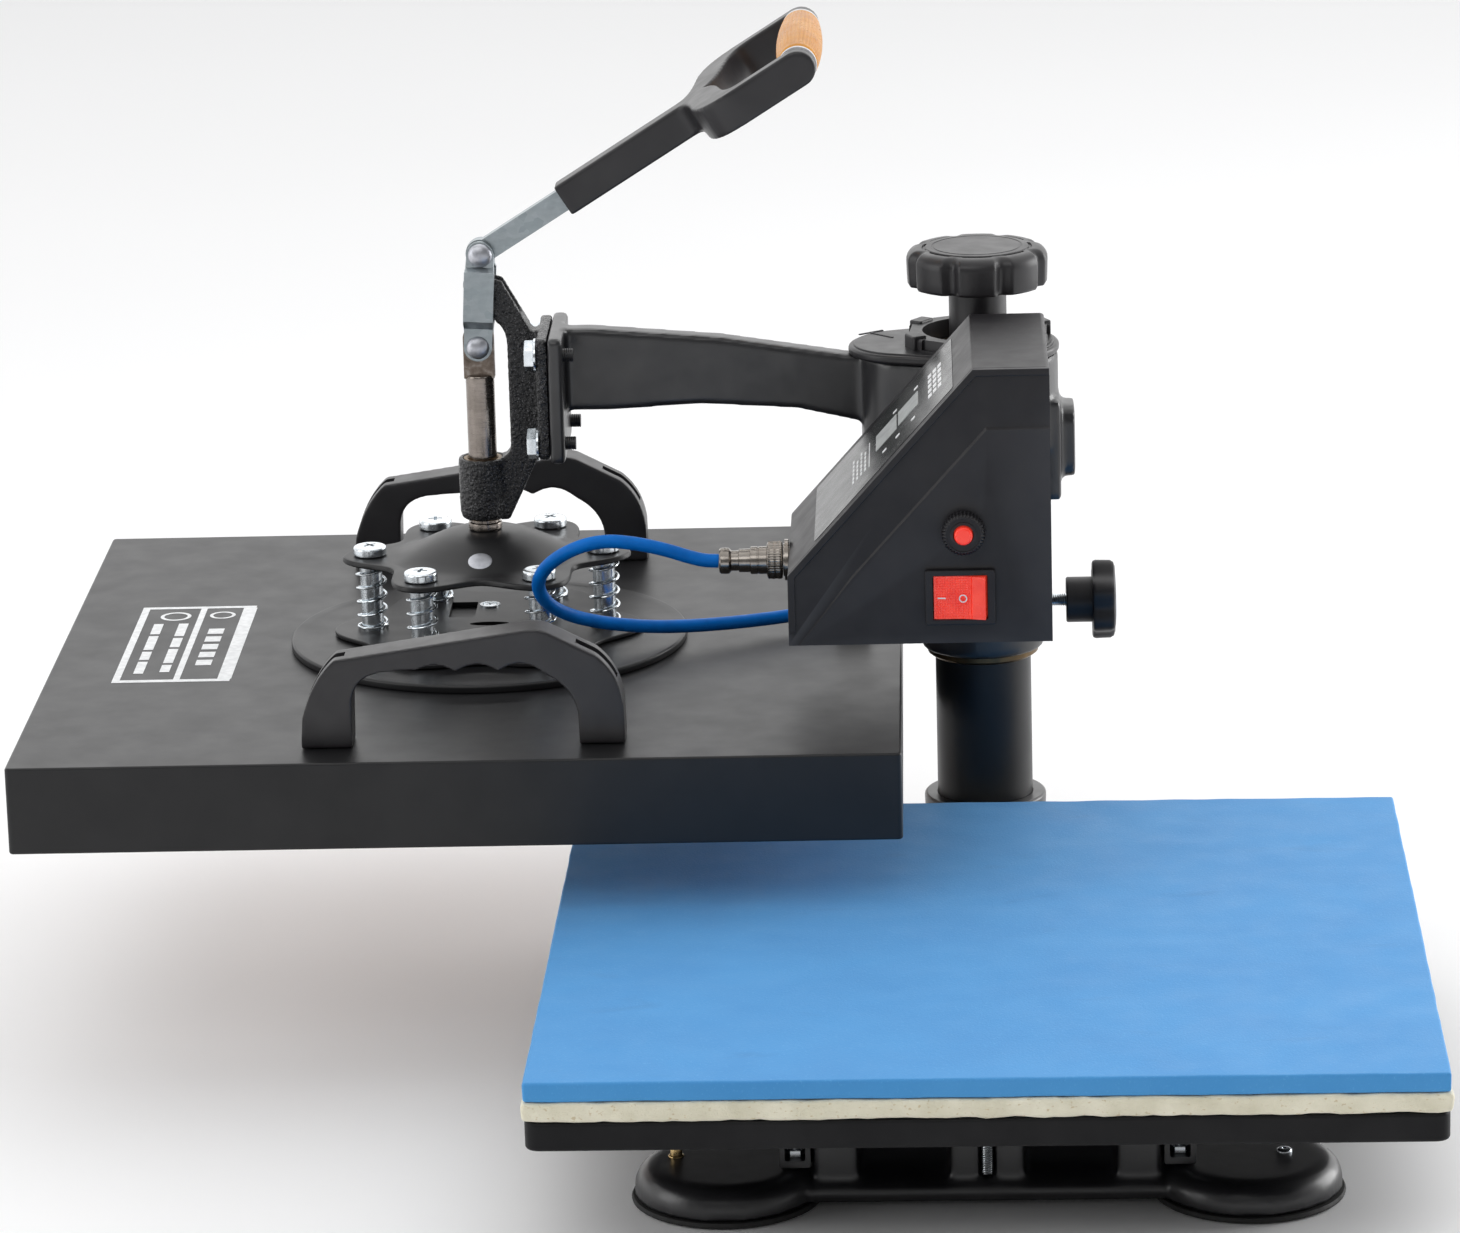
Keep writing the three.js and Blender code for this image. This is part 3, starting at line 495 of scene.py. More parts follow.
class Look:
    """A material whose patterns lie in the object's own coordinates, with sizes in millimetres."""

    def __init__(self, name, **sockets):
        self.material = bpy.data.materials.new(name)
        self.material.use_nodes = True
        self.tree = self.material.node_tree
        self.shader = self.tree.nodes["Principled BSDF"]
        self.place = self.node("ShaderNodeTexCoord").outputs["Object"]
        self.normal = None
        for socket, value in sockets.items():
            self.shader.inputs[socket.replace("_", " ")].default_value = value

    def node(self, kind, **settings):
        made = self.tree.nodes.new(kind)
        for key, value in settings.items():
            setattr(made, key, value)
        return made

    def link(self, output, target):
        self.tree.links.new(output, target)

    def stretched(self, stretch):
        mapping = self.node("ShaderNodeMapping")
        mapping.inputs["Scale"].default_value = stretch
        self.link(self.place, mapping.inputs["Vector"])
        return mapping.outputs["Vector"]

    def noise(self, size, detail=3.0, stretch=None, distortion=0.0):
        made = self.node("ShaderNodeTexNoise")
        made.inputs["Scale"].default_value = 1 / (size * MM)
        made.inputs["Detail"].default_value = detail
        made.inputs["Distortion"].default_value = distortion
        self.link(self.stretched(stretch) if stretch else self.place, made.inputs["Vector"])
        return made.outputs["Fac"]

    def cells(self, size, output="Distance", randomness=1.0):
        made = self.node("ShaderNodeTexVoronoi")
        made.inputs["Scale"].default_value = 1 / (size * MM)
        made.inputs["Randomness"].default_value = randomness
        self.link(self.place, made.inputs["Vector"])
        return made.outputs[output]

    def ranged(self, value, start, end, low, high):
        made = self.node("ShaderNodeMapRange")
        for name, number in (("From Min", start), ("From Max", end), ("To Min", low), ("To Max", high)):
            made.inputs[name].default_value = number
        self.link(value, made.inputs["Value"])
        return made.outputs["Result"]

    def ramp(self, value, stops):
        made = self.node("ShaderNodeValToRGB")
        elements = made.color_ramp.elements
        while len(elements) < len(stops):
            elements.new(0.5)
        for element, (place, colour) in zip(elements, stops):
            element.position = place
            element.color = (*colour, 1)
        self.link(value, made.inputs["Fac"])
        return made.outputs["Color"]

    def mixed(self, factor, first, second):
        made = self.node("ShaderNodeMix", data_type="RGBA")
        self.link(factor, made.inputs["Factor"])
        for name, colour in (("A", first), ("B", second)):
            socket = [one for one in made.inputs if one.name == name and one.type == "RGBA"][0]
            if isinstance(colour, bpy.types.NodeSocket):
                self.link(colour, socket)
            else:
                socket.default_value = (*colour, 1)
        return [one for one in made.outputs if one.type == "RGBA"][0]

    def colour(self, output):
        self.link(output, self.shader.inputs["Base Color"])

    def roughness(self, output):
        self.link(output, self.shader.inputs["Roughness"])

    def bump(self, height, depth):
        """Adds relief of this depth in millimetres."""
        made = self.node("ShaderNodeBump")
        made.inputs["Distance"].default_value = depth * MM
        self.link(height, made.inputs["Height"])
        if self.normal:
            self.link(self.normal, made.inputs["Normal"])
        self.normal = made.outputs["Normal"]
        self.link(self.normal, self.shader.inputs["Normal"])

    def edges(self, start, end):
        """1 along worn, outward edges and 0 elsewhere."""
        pointed = self.node("ShaderNodeNewGeometry").outputs["Pointiness"]
        return self.ranged(pointed, start, end, 0.0, 1.0)


def finish(name, dark, light, rough, patch=14.0, grain=0.5, depth=0.02, **sockets):
    """A plain finish: two close tones, uneven gloss and a fine grain."""
    look = Look(name, **sockets)
    patches = look.noise(patch, 4.0)
    look.colour(look.ramp(patches, [(0.35, dark), (0.65, light)]))
    look.roughness(look.ranged(look.noise(patch * 0.6, 3.0), 0.3, 0.7, *rough))
    look.bump(look.noise(grain, 2.0), depth)
    return look


def black_coat():
    look = finish(
        "black_coat", (0.009, 0.009, 0.010), (0.013, 0.013, 0.014), (0.36, 0.42), 30, 0.6, 0.012,
        Specular_IOR_Level=0.36,
    )
    look.bump(look.noise(70, 1.0), 0.22)
    return look.material


def black_enamel():
    look = finish(
        "black_enamel", (0.011, 0.011, 0.013), (0.018, 0.018, 0.020), (0.28, 0.38), 22, 0.8, 0.015,
        Specular_IOR_Level=0.75,
    )
    look.bump(look.noise(9, 2.0), 0.05)
    return look.material


def black_hammered():
    look = Look("black_hammered")
    pits = look.cells(1.5)
    specks = look.noise(0.55, 2.0)
    look.colour(look.ramp(specks, [(0.58, (0.009, 0.009, 0.010)), (0.70, (0.16, 0.16, 0.17))]))
    look.roughness(look.ranged(look.noise(2.0), 0.35, 0.65, 0.20, 0.42))
    look.bump(pits, 0.42)
    look.bump(look.noise(0.9, 3.0), 0.28)
    return look.material


def black_plastic():
    look = finish(
        "black_plastic", (0.010, 0.009, 0.011), (0.015, 0.014, 0.016), (0.38, 0.47), 18, 0.35, 0.014,
        Specular_IOR_Level=0.36,
    )
    worn = look.edges(0.54, 0.66)
    base = look.shader.inputs["Base Color"].links[0].from_socket
    look.colour(look.mixed(worn, base, (0.045, 0.045, 0.05)))
    return look.material


def black_grip():
    look = finish("black_grip", (0.017, 0.016, 0.018), (0.023, 0.022, 0.024), (0.34, 0.42), 16, 0.45, 0.012)
    look.bump(look.noise(12, 1.0), 0.06)
    return look.material


def zinc():
    look = finish("zinc", (0.68, 0.73, 0.77), (0.82, 0.86, 0.89), (0.18, 0.28), 4, 0.35, 0.004, Metallic=1.0)
    look.bump(look.noise(3.0, 2.0), 0.008)
    return look.material


def galvanised():
    look = Look("galvanised", Metallic=0.9)
    spangle = look.cells(3.4, "Color")
    patches = look.noise(6, 4.0, (1, 1, 2.5))
    tone = look.ramp(patches, [(0.3, (0.27, 0.305, 0.32)), (0.7, (0.40, 0.44, 0.46))])
    grey = look.ramp(spangle, [(0.2, (0.28, 0.325, 0.345)), (0.8, (0.46, 0.50, 0.52))])
    look.colour(look.mixed(look.noise(9), tone, grey))
    look.roughness(look.ranged(spangle, 0.2, 0.8, 0.34, 0.50))
    look.bump(look.noise(0.8, 3.0), 0.03)
    return look.material


def nickel(name="nickel", dark=(0.20, 0.175, 0.155), light=(0.30, 0.265, 0.24)):
    look = Look(name, Metallic=1.0)
    rings = look.noise(0.9, 3.0, (0.1, 0.1, 1))
    look.colour(look.ramp(look.noise(7), [(0.3, dark), (0.7, light)]))
    look.roughness(look.ranged(rings, 0.3, 0.7, 0.18, 0.30))
    look.bump(rings, 0.008)
    return look.material


def bare_steel():
    look = Look("bare_steel", Metallic=0.85)
    rust = look.noise(3.0, 5.0)
    tones = [(0.3, (0.13, 0.10, 0.08)), (0.55, (0.22, 0.18, 0.15)), (0.7, (0.33, 0.30, 0.28))]
    look.colour(look.ramp(rust, tones))
    look.roughness(look.ranged(rust, 0.3, 0.7, 0.5, 0.34))
    look.bump(look.noise(0.7, 4.0), 0.03)
    return look.material


def aluminium():
    look = Look("aluminium", Metallic=0.95)
    brushed = look.noise(1.2, 4.0, (0.05, 1, 1))
    look.colour(look.ramp(look.noise(40), [(0.3, (0.62, 0.52, 0.47)), (0.7, (0.74, 0.66, 0.62))]))
    look.roughness(look.ranged(brushed, 0.3, 0.7, 0.30, 0.44))
    look.bump(brushed, 0.01)
    return look.material


def foam():
    """Closed-cell silicone foam with a few faint smudges."""
    look = Look("blue_foam", Specular_IOR_Level=0.3, Sheen_Weight=0.12, Sheen_Roughness=0.5)
    tone = look.ramp(look.noise(45, 3.0), [(0.3, (0.058, 0.285, 0.63)), (0.7, (0.066, 0.31, 0.665))])
    smudge = look.ranged(look.noise(26, 5.0, (0.55, 1.3, 1), 0.6), 0.64, 0.78, 0.0, 0.28)
    soiled = look.mixed(smudge, tone, (0.042, 0.20, 0.46))
    pores = look.noise(1.1, 3.0)
    dots = look.ranged(pores, 0.60, 0.74, 0.0, 0.5)
    look.colour(look.mixed(dots, soiled, (0.12, 0.39, 0.73)))
    look.roughness(look.ranged(look.noise(20), 0.3, 0.7, 0.58, 0.74))
    look.bump(pores, 0.10)
    look.bump(look.cells(0.8), 0.05)
    return look.material


def felt():
    look = Look("cream_felt", Sheen_Weight=0.35, Sheen_Roughness=0.6)
    tone = look.ramp(look.noise(14, 4.0), [(0.3, (0.70, 0.66, 0.50)), (0.7, (0.86, 0.82, 0.66))])
    fleck = look.ranged(look.noise(2.4, 2.0, (1, 1, 1.6)), 0.64, 0.72, 0.0, 0.55)
    look.colour(look.mixed(fleck, tone, (0.50, 0.36, 0.14)))
    look.roughness(look.ranged(look.noise(8), 0.3, 0.7, 0.85, 1.0))
    look.bump(look.noise(1.2, 5.0, (0.5, 0.5, 1), 1.0), 0.5)
    look.bump(look.noise(0.5, 3.0, (1, 1, 0.3)), 0.2)
    return look.material


def wool():
    look = Look("fibre_mat", Sheen_Weight=0.3, Sheen_Roughness=0.6)
    look.colour(look.ramp(look.noise(10, 5.0), [(0.3, (0.55, 0.52, 0.44)), (0.7, (0.74, 0.71, 0.62))]))
    look.roughness(look.ranged(look.noise(6), 0.3, 0.7, 0.85, 1.0))
    look.bump(look.noise(1.5, 5.0, (0.4, 0.4, 1.5), 1.2), 0.6)
    return look.material


def cable_sheath():
    look = finish(
        "blue_sheath", (0.0006, 0.13, 0.50), (0.001, 0.16, 0.60), (0.34, 0.46), 9, 0.7, 0.02,
        Specular_IOR_Level=0.12,
    )
    look.bump(look.noise(6, 1.0), 0.08)
    return look.material


def amber():
    look = Look("amber", Subsurface_Weight=0.04, Subsurface_Scale=0.003, Specular_IOR_Level=0.12)
    look.colour(look.ramp(look.noise(12, 2.0), [(0.3, (0.50, 0.19, 0.010)), (0.7, (0.62, 0.27, 0.022))]))
    look.roughness(look.ranged(look.noise(5), 0.3, 0.7, 0.26, 0.38))
    look.bump(look.noise(0.8), 0.02)
    return look.material


def red(name="red_rocker_painted_glow", dark=(0.72, 0.022, 0.012), light=(0.92, 0.06, 0.03)):
    # The emission is a painted glow: it brightens the red of the rocker and of the breaker button, which are
    # not lamps.
    look = Look(
        name, Subsurface_Weight=0.2, Subsurface_Scale=0.002, Coat_Weight=0.2, Coat_Roughness=0.15,
        Emission_Color=(0.9, 0.05, 0.025, 1), Emission_Strength=0.32,
    )
    look.colour(look.ramp(look.noise(9, 2.0), [(0.3, dark), (0.7, light)]))
    look.roughness(look.ranged(look.noise(4), 0.3, 0.7, 0.22, 0.34))
    look.bump(look.noise(1.2), 0.015)
    return look.material


COAT = black_coat()
ENAMEL = black_enamel()
MATT = finish(
    "black_matt", (0.004, 0.004, 0.005), (0.008, 0.008, 0.009), (0.44, 0.56), 26, 0.9, 0.02,
    Specular_IOR_Level=0.22,
).material
HAMMERED = black_hammered()
PLASTIC = black_plastic()
GRIP = black_grip()
RUBBER = finish("rubber", (0.010,) * 3, (0.018,) * 3, (0.62, 0.78), 10, 0.5, 0.04).material
ZINC = zinc()
SATIN = finish(
    "satin_steel", (0.42, 0.43, 0.47), (0.56, 0.57, 0.61), (0.36, 0.46), 4, 0.5, 0.01, Metallic=1.0
).material
GALVANISED = galvanised()
NICKEL = nickel()
CONNECTOR = nickel("connector_nickel", (0.24, 0.215, 0.19), (0.36, 0.33, 0.30))
BARE_STEEL = bare_steel()
BRONZE = finish(
    "bronze", (0.10, 0.07, 0.04), (0.18, 0.12, 0.06), (0.3, 0.45), 9, 0.6, 0.012, Metallic=1.0
).material
BRASS = finish(
    "brass", (0.55, 0.38, 0.16), (0.70, 0.52, 0.26), (0.24, 0.36), 3, 0.4, 0.01, Metallic=1.0
).material
ALUMINIUM = aluminium()
FOAM = foam()
FELT = felt()
WOOL = wool()
SHEATH = cable_sheath()
AMBER = amber()
RED = red()
RED_BUTTON = red("red_button", (0.85, 0.03, 0.018), (0.95, 0.05, 0.03))
INK = finish("white_ink", (0.70, 0.71, 0.72), (0.84, 0.85, 0.86), (0.42, 0.55), 3, 0.4, 0.01).material
FILM = finish(
    "panel_film", (0.020, 0.022, 0.022), (0.030, 0.032, 0.033), (0.20, 0.28), 20, 0.5, 0.006
).material
DISPLAY = finish(
    "display_glass", (0.52, 0.54, 0.54), (0.62, 0.64, 0.64), (0.12, 0.2), 6, 1.0, 0.003
).material
PALE = finish("pale_plastic", (0.62, 0.62, 0.64), (0.74, 0.74, 0.76), (0.34, 0.46), 5, 0.5, 0.01).material

# ---- Camera ----

CAMERA_PLACE = (13.43, -2827.92, 950.57)
CAMERA_TURN = (2.685, 15.560, -1.571)


def make_camera():
    data = bpy.data.cameras.new("camera")
    data.sensor_width = 36
    data.lens = 153.44
    data.clip_start = 0.05
    data.clip_end = 50
    yaw, pitch, roll = (math.radians(angle) for angle in CAMERA_TURN)
    level = math.cos(pitch)
    forward = Vector((-math.sin(yaw) * level, math.cos(yaw) * level, -math.sin(pitch)))
    right = Vector((math.cos(yaw), math.sin(yaw), 0))
    above = right.cross(forward)
    tilted = right * math.cos(roll) + above * math.sin(roll)
    above = above * math.cos(roll) - right * math.sin(roll)
    camera = new_object("camera", data)
    camera.matrix_world = Matrix((tilted, above, -forward)).transposed().to_4x4()
    camera.location = Vector(CAMERA_PLACE) * MM
    bpy.context.scene.camera = camera


make_camera()

# ---- Heater cable ----

CABLE_R = 3.15
CABLE_ROUTE = [
    (-120.3, -95, 215.5), (-127, -95, 216), (-134, -95, 217.8), (-142.5, -95, 220.6), (-151.5, -95, 223),
    (-160.5, -94.5, 224.6), (-169.6, -93.5, 225.2), (-178.9, -91.5, 223.7), (-187.3, -88.5, 220.2),
    (-195, -84, 214.9), (-201, -78.5, 208.3), (-204.3, -72, 200.4), (-203.4, -64.5, 192.1),
    (-198.9, -57, 184.7), (-190.8, -49, 178.2), (-179.7, -41, 172.9), (-167, -34, 169),
    (-153.4, -28, 166.3), (-139.6, -22, 164.6), (-125.7, -15, 163.3), (-111.8, -7.5, 162.3),
    (-100.2, -1, 161.7), (-90, 4.4, 161.5), (-79.5, 8.4, 161.9), (-70.3, 9, 162),
]


def make_cable():
    path = smooth_path(CABLE_ROUTE)
    cable = mesh_object("heater_cable_sheath", tube(path, CABLE_R, 28), SHEATH, HEAD)
    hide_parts("heater_cable")
    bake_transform(cable)


make_cable()

# ---- Base ----


def fillet_lobe(x, y, radius, low, top):
    round_over = 9
    side = [(radius, low), (radius - 0.6, top - round_over)]
    crown = arc((radius - 0.6 - round_over, top - round_over), round_over, 0, 90, 8)[1:]
    return at(revolve(side + crown, 72), x, y, 0)


def make_base_casting():
    low, high = extent("base_casting")
    foot = middle(*extent("foot_front_left"))
    lobe_x = -foot.x
    front = foot.y
    rear = high.y - 40
    top = high.z
    lobes = [fillet_lobe(x, y, 40, low.z, 16) for y in (front, rear) for x in (-lobe_x, lobe_x)]
    bar = [
        (front - 18.6, low.z), (front + 60, low.z), (front + 60, top), (front + 11, top),
        (front + 6, top - 3), (front + 3, 22), (front - 3, 15), (front - 14, 11.5), (front - 18.6, 9),
    ]
    apron = [(front - 18.6, low.z), (front + 30, low.z), (front + 30, 12), (front - 16, 10)]
    parts = [
        crosswise(bar, -74, 74),
        crosswise(apron, -108, 108),
        block((-lobe_x, rear - 30, low.z), (lobe_x, rear + 30, 12)),
        block((-40, front + 40, low.z), (40, rear + 30, 40)),
        block((-60, -187.8, low.z), (60, -147.8, top)),
    ]
    for x, half in ((-64, 9), (64, 9), (0, 15.5)):
        upstand = [(x - half, front - 15.6), (x + half, front - 15.6)]
        upstand += [(x + half + 2.5, front + 10), (x - half - 2.5, front + 10)]
        parts.append(extrude(upstand, low.z, top))
    hollows = [
        block((-34, front + 46, 0), (34, -40, 34)),
        block((-68, front + 12, 0), (68, front + 54, top - 6)),
        block((-3.4, front - 22, 12), (3.4, front - 9, top + 4)),
        disc(22.8, 10, 50),
    ]
    whole = cast(together(*lobes, *parts), 1.5, 2)
    whole = cast(carved(whole, hollows), 1.5, 3)
    piece("base_shell", whole, ENAMEL, "base", replaces=["base_casting"])
    return lobe_x, front, rear


def make_foot(name, y, *places):
    """A round rubber foot at each place along X; two of them are joined by a strip."""
    radius = 41
    rim = [(radius - 1.2, 0), (radius - 0.2, 0.5), (radius, 1.2), (radius - 0.6, 2.5)]
    pads = [at(revolve(rim), x, y, 0) for x in places]
    if len(pads) > 1:
        strip = block((places[0], y - 28, 0.2), (places[1], y + 28, 2.3))
        pads = [join(*pads, strip)]
    piece(name + "_pad", pads[0], RUBBER, "base", replaces=[name])


def cross_slots(reach, half_width, low, high):
    slot = block((-reach, -half_width, low), (reach, half_width, high))
    return [moved(slot, rotation(angle, "Z")) for angle in (20, 110)]


def pan_head(radius, height, cross=True):
    """A pan head, seated at height 0, with or without a cross recess."""
    crown = [(radius, 0), (radius, 0.35 * height)]
    crown += bezier([(radius, 0.35 * height), (radius, height), (0.45 * radius, height)], 8)
    head = revolve(crown, 48)
    if not cross:
        return head
    slots = cross_slots(0.5 * radius, 0.11 * radius, 0.5 * height, 2 * height)
    centre = revolve([(0.12 * radius, 0.45 * height), (0.3 * radius, 1.1 * height)], 12)
    return bevelled(cut(head, *slots, centre), 0.03 * radius, 1, 40)


def cheese_head(radius, height):
    """A flat-topped screw head with a rounded edge and a cross recess, seated at height 0."""
    edge = [(radius - 0.3, 0), (radius, 0.4), (radius, 0.62 * height)]
    edge += bezier([(radius, 0.62 * height), (radius, 0.92 * height), (0.78 * radius, 0.94 * height)], 6)
    head = revolve(edge + [(0.3 * radius, height)], 64)
    slots = cross_slots(0.42 * radius, 0.09 * radius, 0.55 * height, 2 * height)
    return bevelled(cut(head, *slots), 0.15, 1, 40)


def make_base_screws(front, rear):
    """One slotted brass stub, on the front left lobe, and three pan-head screws."""
    stub = revolve([(2.6, 15.5), (2.6, 19.2), (2.2, 19.8)], 32)
    stub = join(stub, at(pan_head(3.4, 1.2, False), 0, 0, 15.6))
    stub = cut(stub, block((-3, -0.45, 18.6), (3, 0.45, 21)))
    piece("base_screw_1", at(stub, -132.9, front + 6, 0), BRASS, "base")
    for index, (x, y) in enumerate([(126, front + 3), (-126, rear), (126, rear)]):
        piece(f"base_screw_{index + 2}", at(pan_head(3.4, 2.0), x, y, 15.7), ZINC, "base")


def make_column():
    low, high = extent("column")
    radius = high.x
    wall = [(radius, low.z), (radius, high.z - 1), (radius - 1, high.z)]
    wall += [(8.3, high.z), (8.3, low.z + 2), (15, low.z)]
    piece("column_tube", hoop(wall, 128), COAT, "base", replaces=["column"])
    low, high = extent("column_socket")
    bore = radius + 0.3
    root = bezier([(38, low.z + 3), (30, low.z + 5), (28, low.z + 12)], 8)
    lip = [(28.6, high.z - 6), (28.8, high.z - 3)] + arc((27.3, high.z - 1.5), 1.5, 0, 90, 5)
    profile = [(bore, low.z), (38, low.z), (38, low.z + 3)] + root + lip + [(bore, high.z)]
    piece("column_seat", hoop(profile, 128), ENAMEL, "base", replaces=["column_socket"])


def make_bed():
    low, high = extent("silicone_pad")
    pad = soft_block(low, high, 1.3, 5)
    pad = piece("silicone_foam", pad, FOAM, "base", replaces=["silicone_pad"], lumps=(0.28, 16))
    low, high = extent("felt_pad")
    mat = soft_block(low, high, 2.2, 4)
    mat = piece("felt_mat", mat, FELT, "base", replaces=["felt_pad"], lumps=(0.7, 7))
    low, high = extent("lower_platen")
    plate = extrude(rectangle(low.x, low.y, high.x, high.y, 7), low.z, high.z, 1.6, 5)
    centre = middle(low, high).y
    half = (high.x - low.x) / 2 - 8
    roof = high.z - 4
    pockets = []
    for x_low, x_high, y_low, y_high in (
        (-half, -82, -half, half), (82, half, -half, half), (-70, 70, 98, half), (-70, 70, -32, 42),
    ):
        outline = rectangle(x_low, centre + y_low, x_high, centre + y_high, 6)
        pockets.append(extrude(outline, low.z - 2, roof))
    piece("platen_casting", cut(plate, *pockets), MATT, "base", replaces=["lower_platen"])


def make_platen_fixings():
    low, high = extent("platen_stud")
    place = middle(low, high)
    stud = at(threaded(2.8, 1.0, low.z, high.z), place.x, place.y, 0)
    piece("platen_stud_thread", stud, ZINC, "base", replaces=["platen_stud"])
    for name in ("bracket_left", "bracket_right"):
        low, high = extent(name)
        frame_outline = rectangle(low.x, low.z, high.x, high.z, 1.6)
        window = rectangle(low.x + 2.4, low.z + 3.2, high.x - 2.4, high.z - 3.2, 1.2)
        strap = cut(upright(frame_outline, low.y, high.y, 0.4), upright(window, low.y - 2, high.y + 2))
        x, y = middle(low, high).x, low.y + 8
        screw = at(threaded(2.6, 1.0, low.z + 1, high.z - 1), x, y, 0)
        nut = at(extrude(lobed(4.2, 0.12, 6, 6), low.z + 3.2, low.z + 6.4, 0.3), x, y, 0)
        piece(name + "_strap", strap, ENAMEL, "base", replaces=[name])
        piece(name + "_screw", together(screw, nut), ZINC, "base")


LOBE_X, FRONT_Y, REAR_Y = make_base_casting()
make_foot("foot_front_left", FRONT_Y, -LOBE_X)
make_foot("foot_front_right", FRONT_Y, LOBE_X)
make_foot("foot_rear", REAR_Y, -LOBE_X, LOBE_X)
make_base_screws(FRONT_Y, REAR_Y)
make_column()
make_bed()
make_platen_fixings()

# ---- Height carriage and pressure knob ----


def make_carriage():
    low, high = extent("lift_bush")
    flange = [(22.8, low.z), (24.2, low.z), (26, low.z + 1.4), (26, low.z + 3.5), (25, low.z + 3.6)]
    profile = flange + [(25, high.z), (8.4, high.z), (8.4, high.z - 4.5), (22.8, high.z - 4.5)]
    piece("lift_sleeve", hoop(profile), BRONZE, "carriage", replaces=["lift_bush"])


def flute(angle):
    """How deep the knob's side is hollowed at this angle: eight narrow flutes between broad lobes."""
    phase = (angle / TAU * 8) % 1
    away = abs(phase - 0.5) / 0.19
    return math.cos(min(away, 1) * math.pi / 2) ** 1.4


def make_pressure_knob():
    low, high = extent("pressure_knob")
    top = high.z - 0.5
    grip_low = top - 18
    widest = 32.8

    def reach(angle):
        return widest - 2.9 * flute(angle)

    shoulder = 5.5
    turns = [math.radians(angle) for angle in range(12, 91, 13)]
    levels = [(4, grip_low), (1.2, grip_low + 0.6), (0.4, grip_low + 2), (0.2, grip_low + 6), (0, top - 6)]
    levels += [(shoulder * (1 - math.cos(turn)), top - shoulder * (1 - math.sin(turn))) for turn in turns]
    levels += [(7.2, top), (7.6, top - 0.7), (8.2, top - 0.7)]
    grip = polar(reach, levels, 320)
    bore = disc(8.3, low.z - 5, high.z - 8, steps=48)
    neck = [(13.0, low.z), (13.4, low.z + 1), (13.4, grip_low - 3)]
    neck += bezier([(13.4, grip_low - 3), (13.6, grip_low + 0.5), (17, grip_low + 1)], 6)
    body = cut(join(grip, revolve(neck)), bore)
    piece(
        "pressure_knob_grip", body, GRIP, "pressure_knob",
        replaces=["pressure_knob"], sharp=50,
    )
    cap = [(24, top - 2), (24.1, top - 0.1), (23.7, top + 0.35), (21.2, top + 0.5)]
    cap += [(20.9, top + 0.2), (20.4, top + 0.2), (20.1, top + 0.5), (2, top + 0.5)]
    piece("pressure_knob_cap", revolve(cap, 128), GRIP, "pressure_knob")
    low, high = extent("pressure_screw")
    screw = threaded(high.x, 2.5, low.z, high.z, 48)
    piece("pressure_screw_thread", screw, ZINC, "pressure_knob", replaces=["pressure_screw"])


make_carriage()
make_pressure_knob()

# ---- Arm ----

FLANGE_BOLTS = [(y, z) for z in (296, 254) for y in (-22, 22)]
ARM_FLANGE = (-199.5, -192.5)
CLAMP_Z = 168
BRACKET_FLANGE = (-205, -199.8)


def make_arm():
    sleeve_low = extent("arm_hub", HEAD)[0].z
    sleeve = revolve([(28, sleeve_low), (29, sleeve_low + 1.7), (29, 262)])
    hub = extrude(teardrop(37, 25.5, 29.5), 246, 289)
    side = block((26, -18, 221), (37.5, 18, 268))
    nose = crosswise(rectangle(-14, 230, 14, 264, 8), 32, 44.3)
    bar_outline = [
        (-196, 265.4), (-172, 265.2), (-130, 267.4), (-85, 264.4), (-56, 257.7), (-30, 252),
        (-30, 288), (-61.5, 289.6), (-120, 299), (-181, 304.4), (-196, 304.2),
    ]
    bar = upright(bar_outline, -6, 6)
    flange = block((ARM_FLANGE[0], -30, 245.5), (ARM_FLANGE[1], 30, 305))
    boss = at(along_x(disc(8, 20, 31.5)), 0, 0, CLAMP_Z)
    tools = [disc(25.3, 140, 300), at(along_x(disc(3.4, 0, 60, steps=32)), 0, 0, CLAMP_Z)]
    body = cast(together(sleeve, hub, side, nose, bar, flange, boss), 1.25, 2)
    body = cast(carved(body, tools), 1.25, 2)
    piece("arm_casting", body, ENAMEL, "arm", HEAD, replaces=["arm_hub"])


def make_flange_bolts():
    seat = BRACKET_FLANGE[0]
    for index, (y, z) in enumerate(FLANGE_BOLTS):
        head = along_x(extrude(lobed(7.2, 0.1, 6, 6), seat - 5.4, seat - 0.8, 0.6, 2))
        washer = along_x(hoop([(4.5, seat - 0.9), (7.9, seat - 0.9), (7.9, seat), (4.5, seat)]))
        piece(f"flange_bolt_{index + 1}", at(together(head, washer), 0, y, z), ZINC, "arm", HEAD)
        tail_low = ARM_FLANGE[1] - 0.2
        tail = along_x(threaded(3.2, 1.0, tail_low, tail_low + 5))
        piece(f"flange_bolt_end_{index + 1}", at(tail, 0, y, z), ENAMEL, "arm", HEAD)


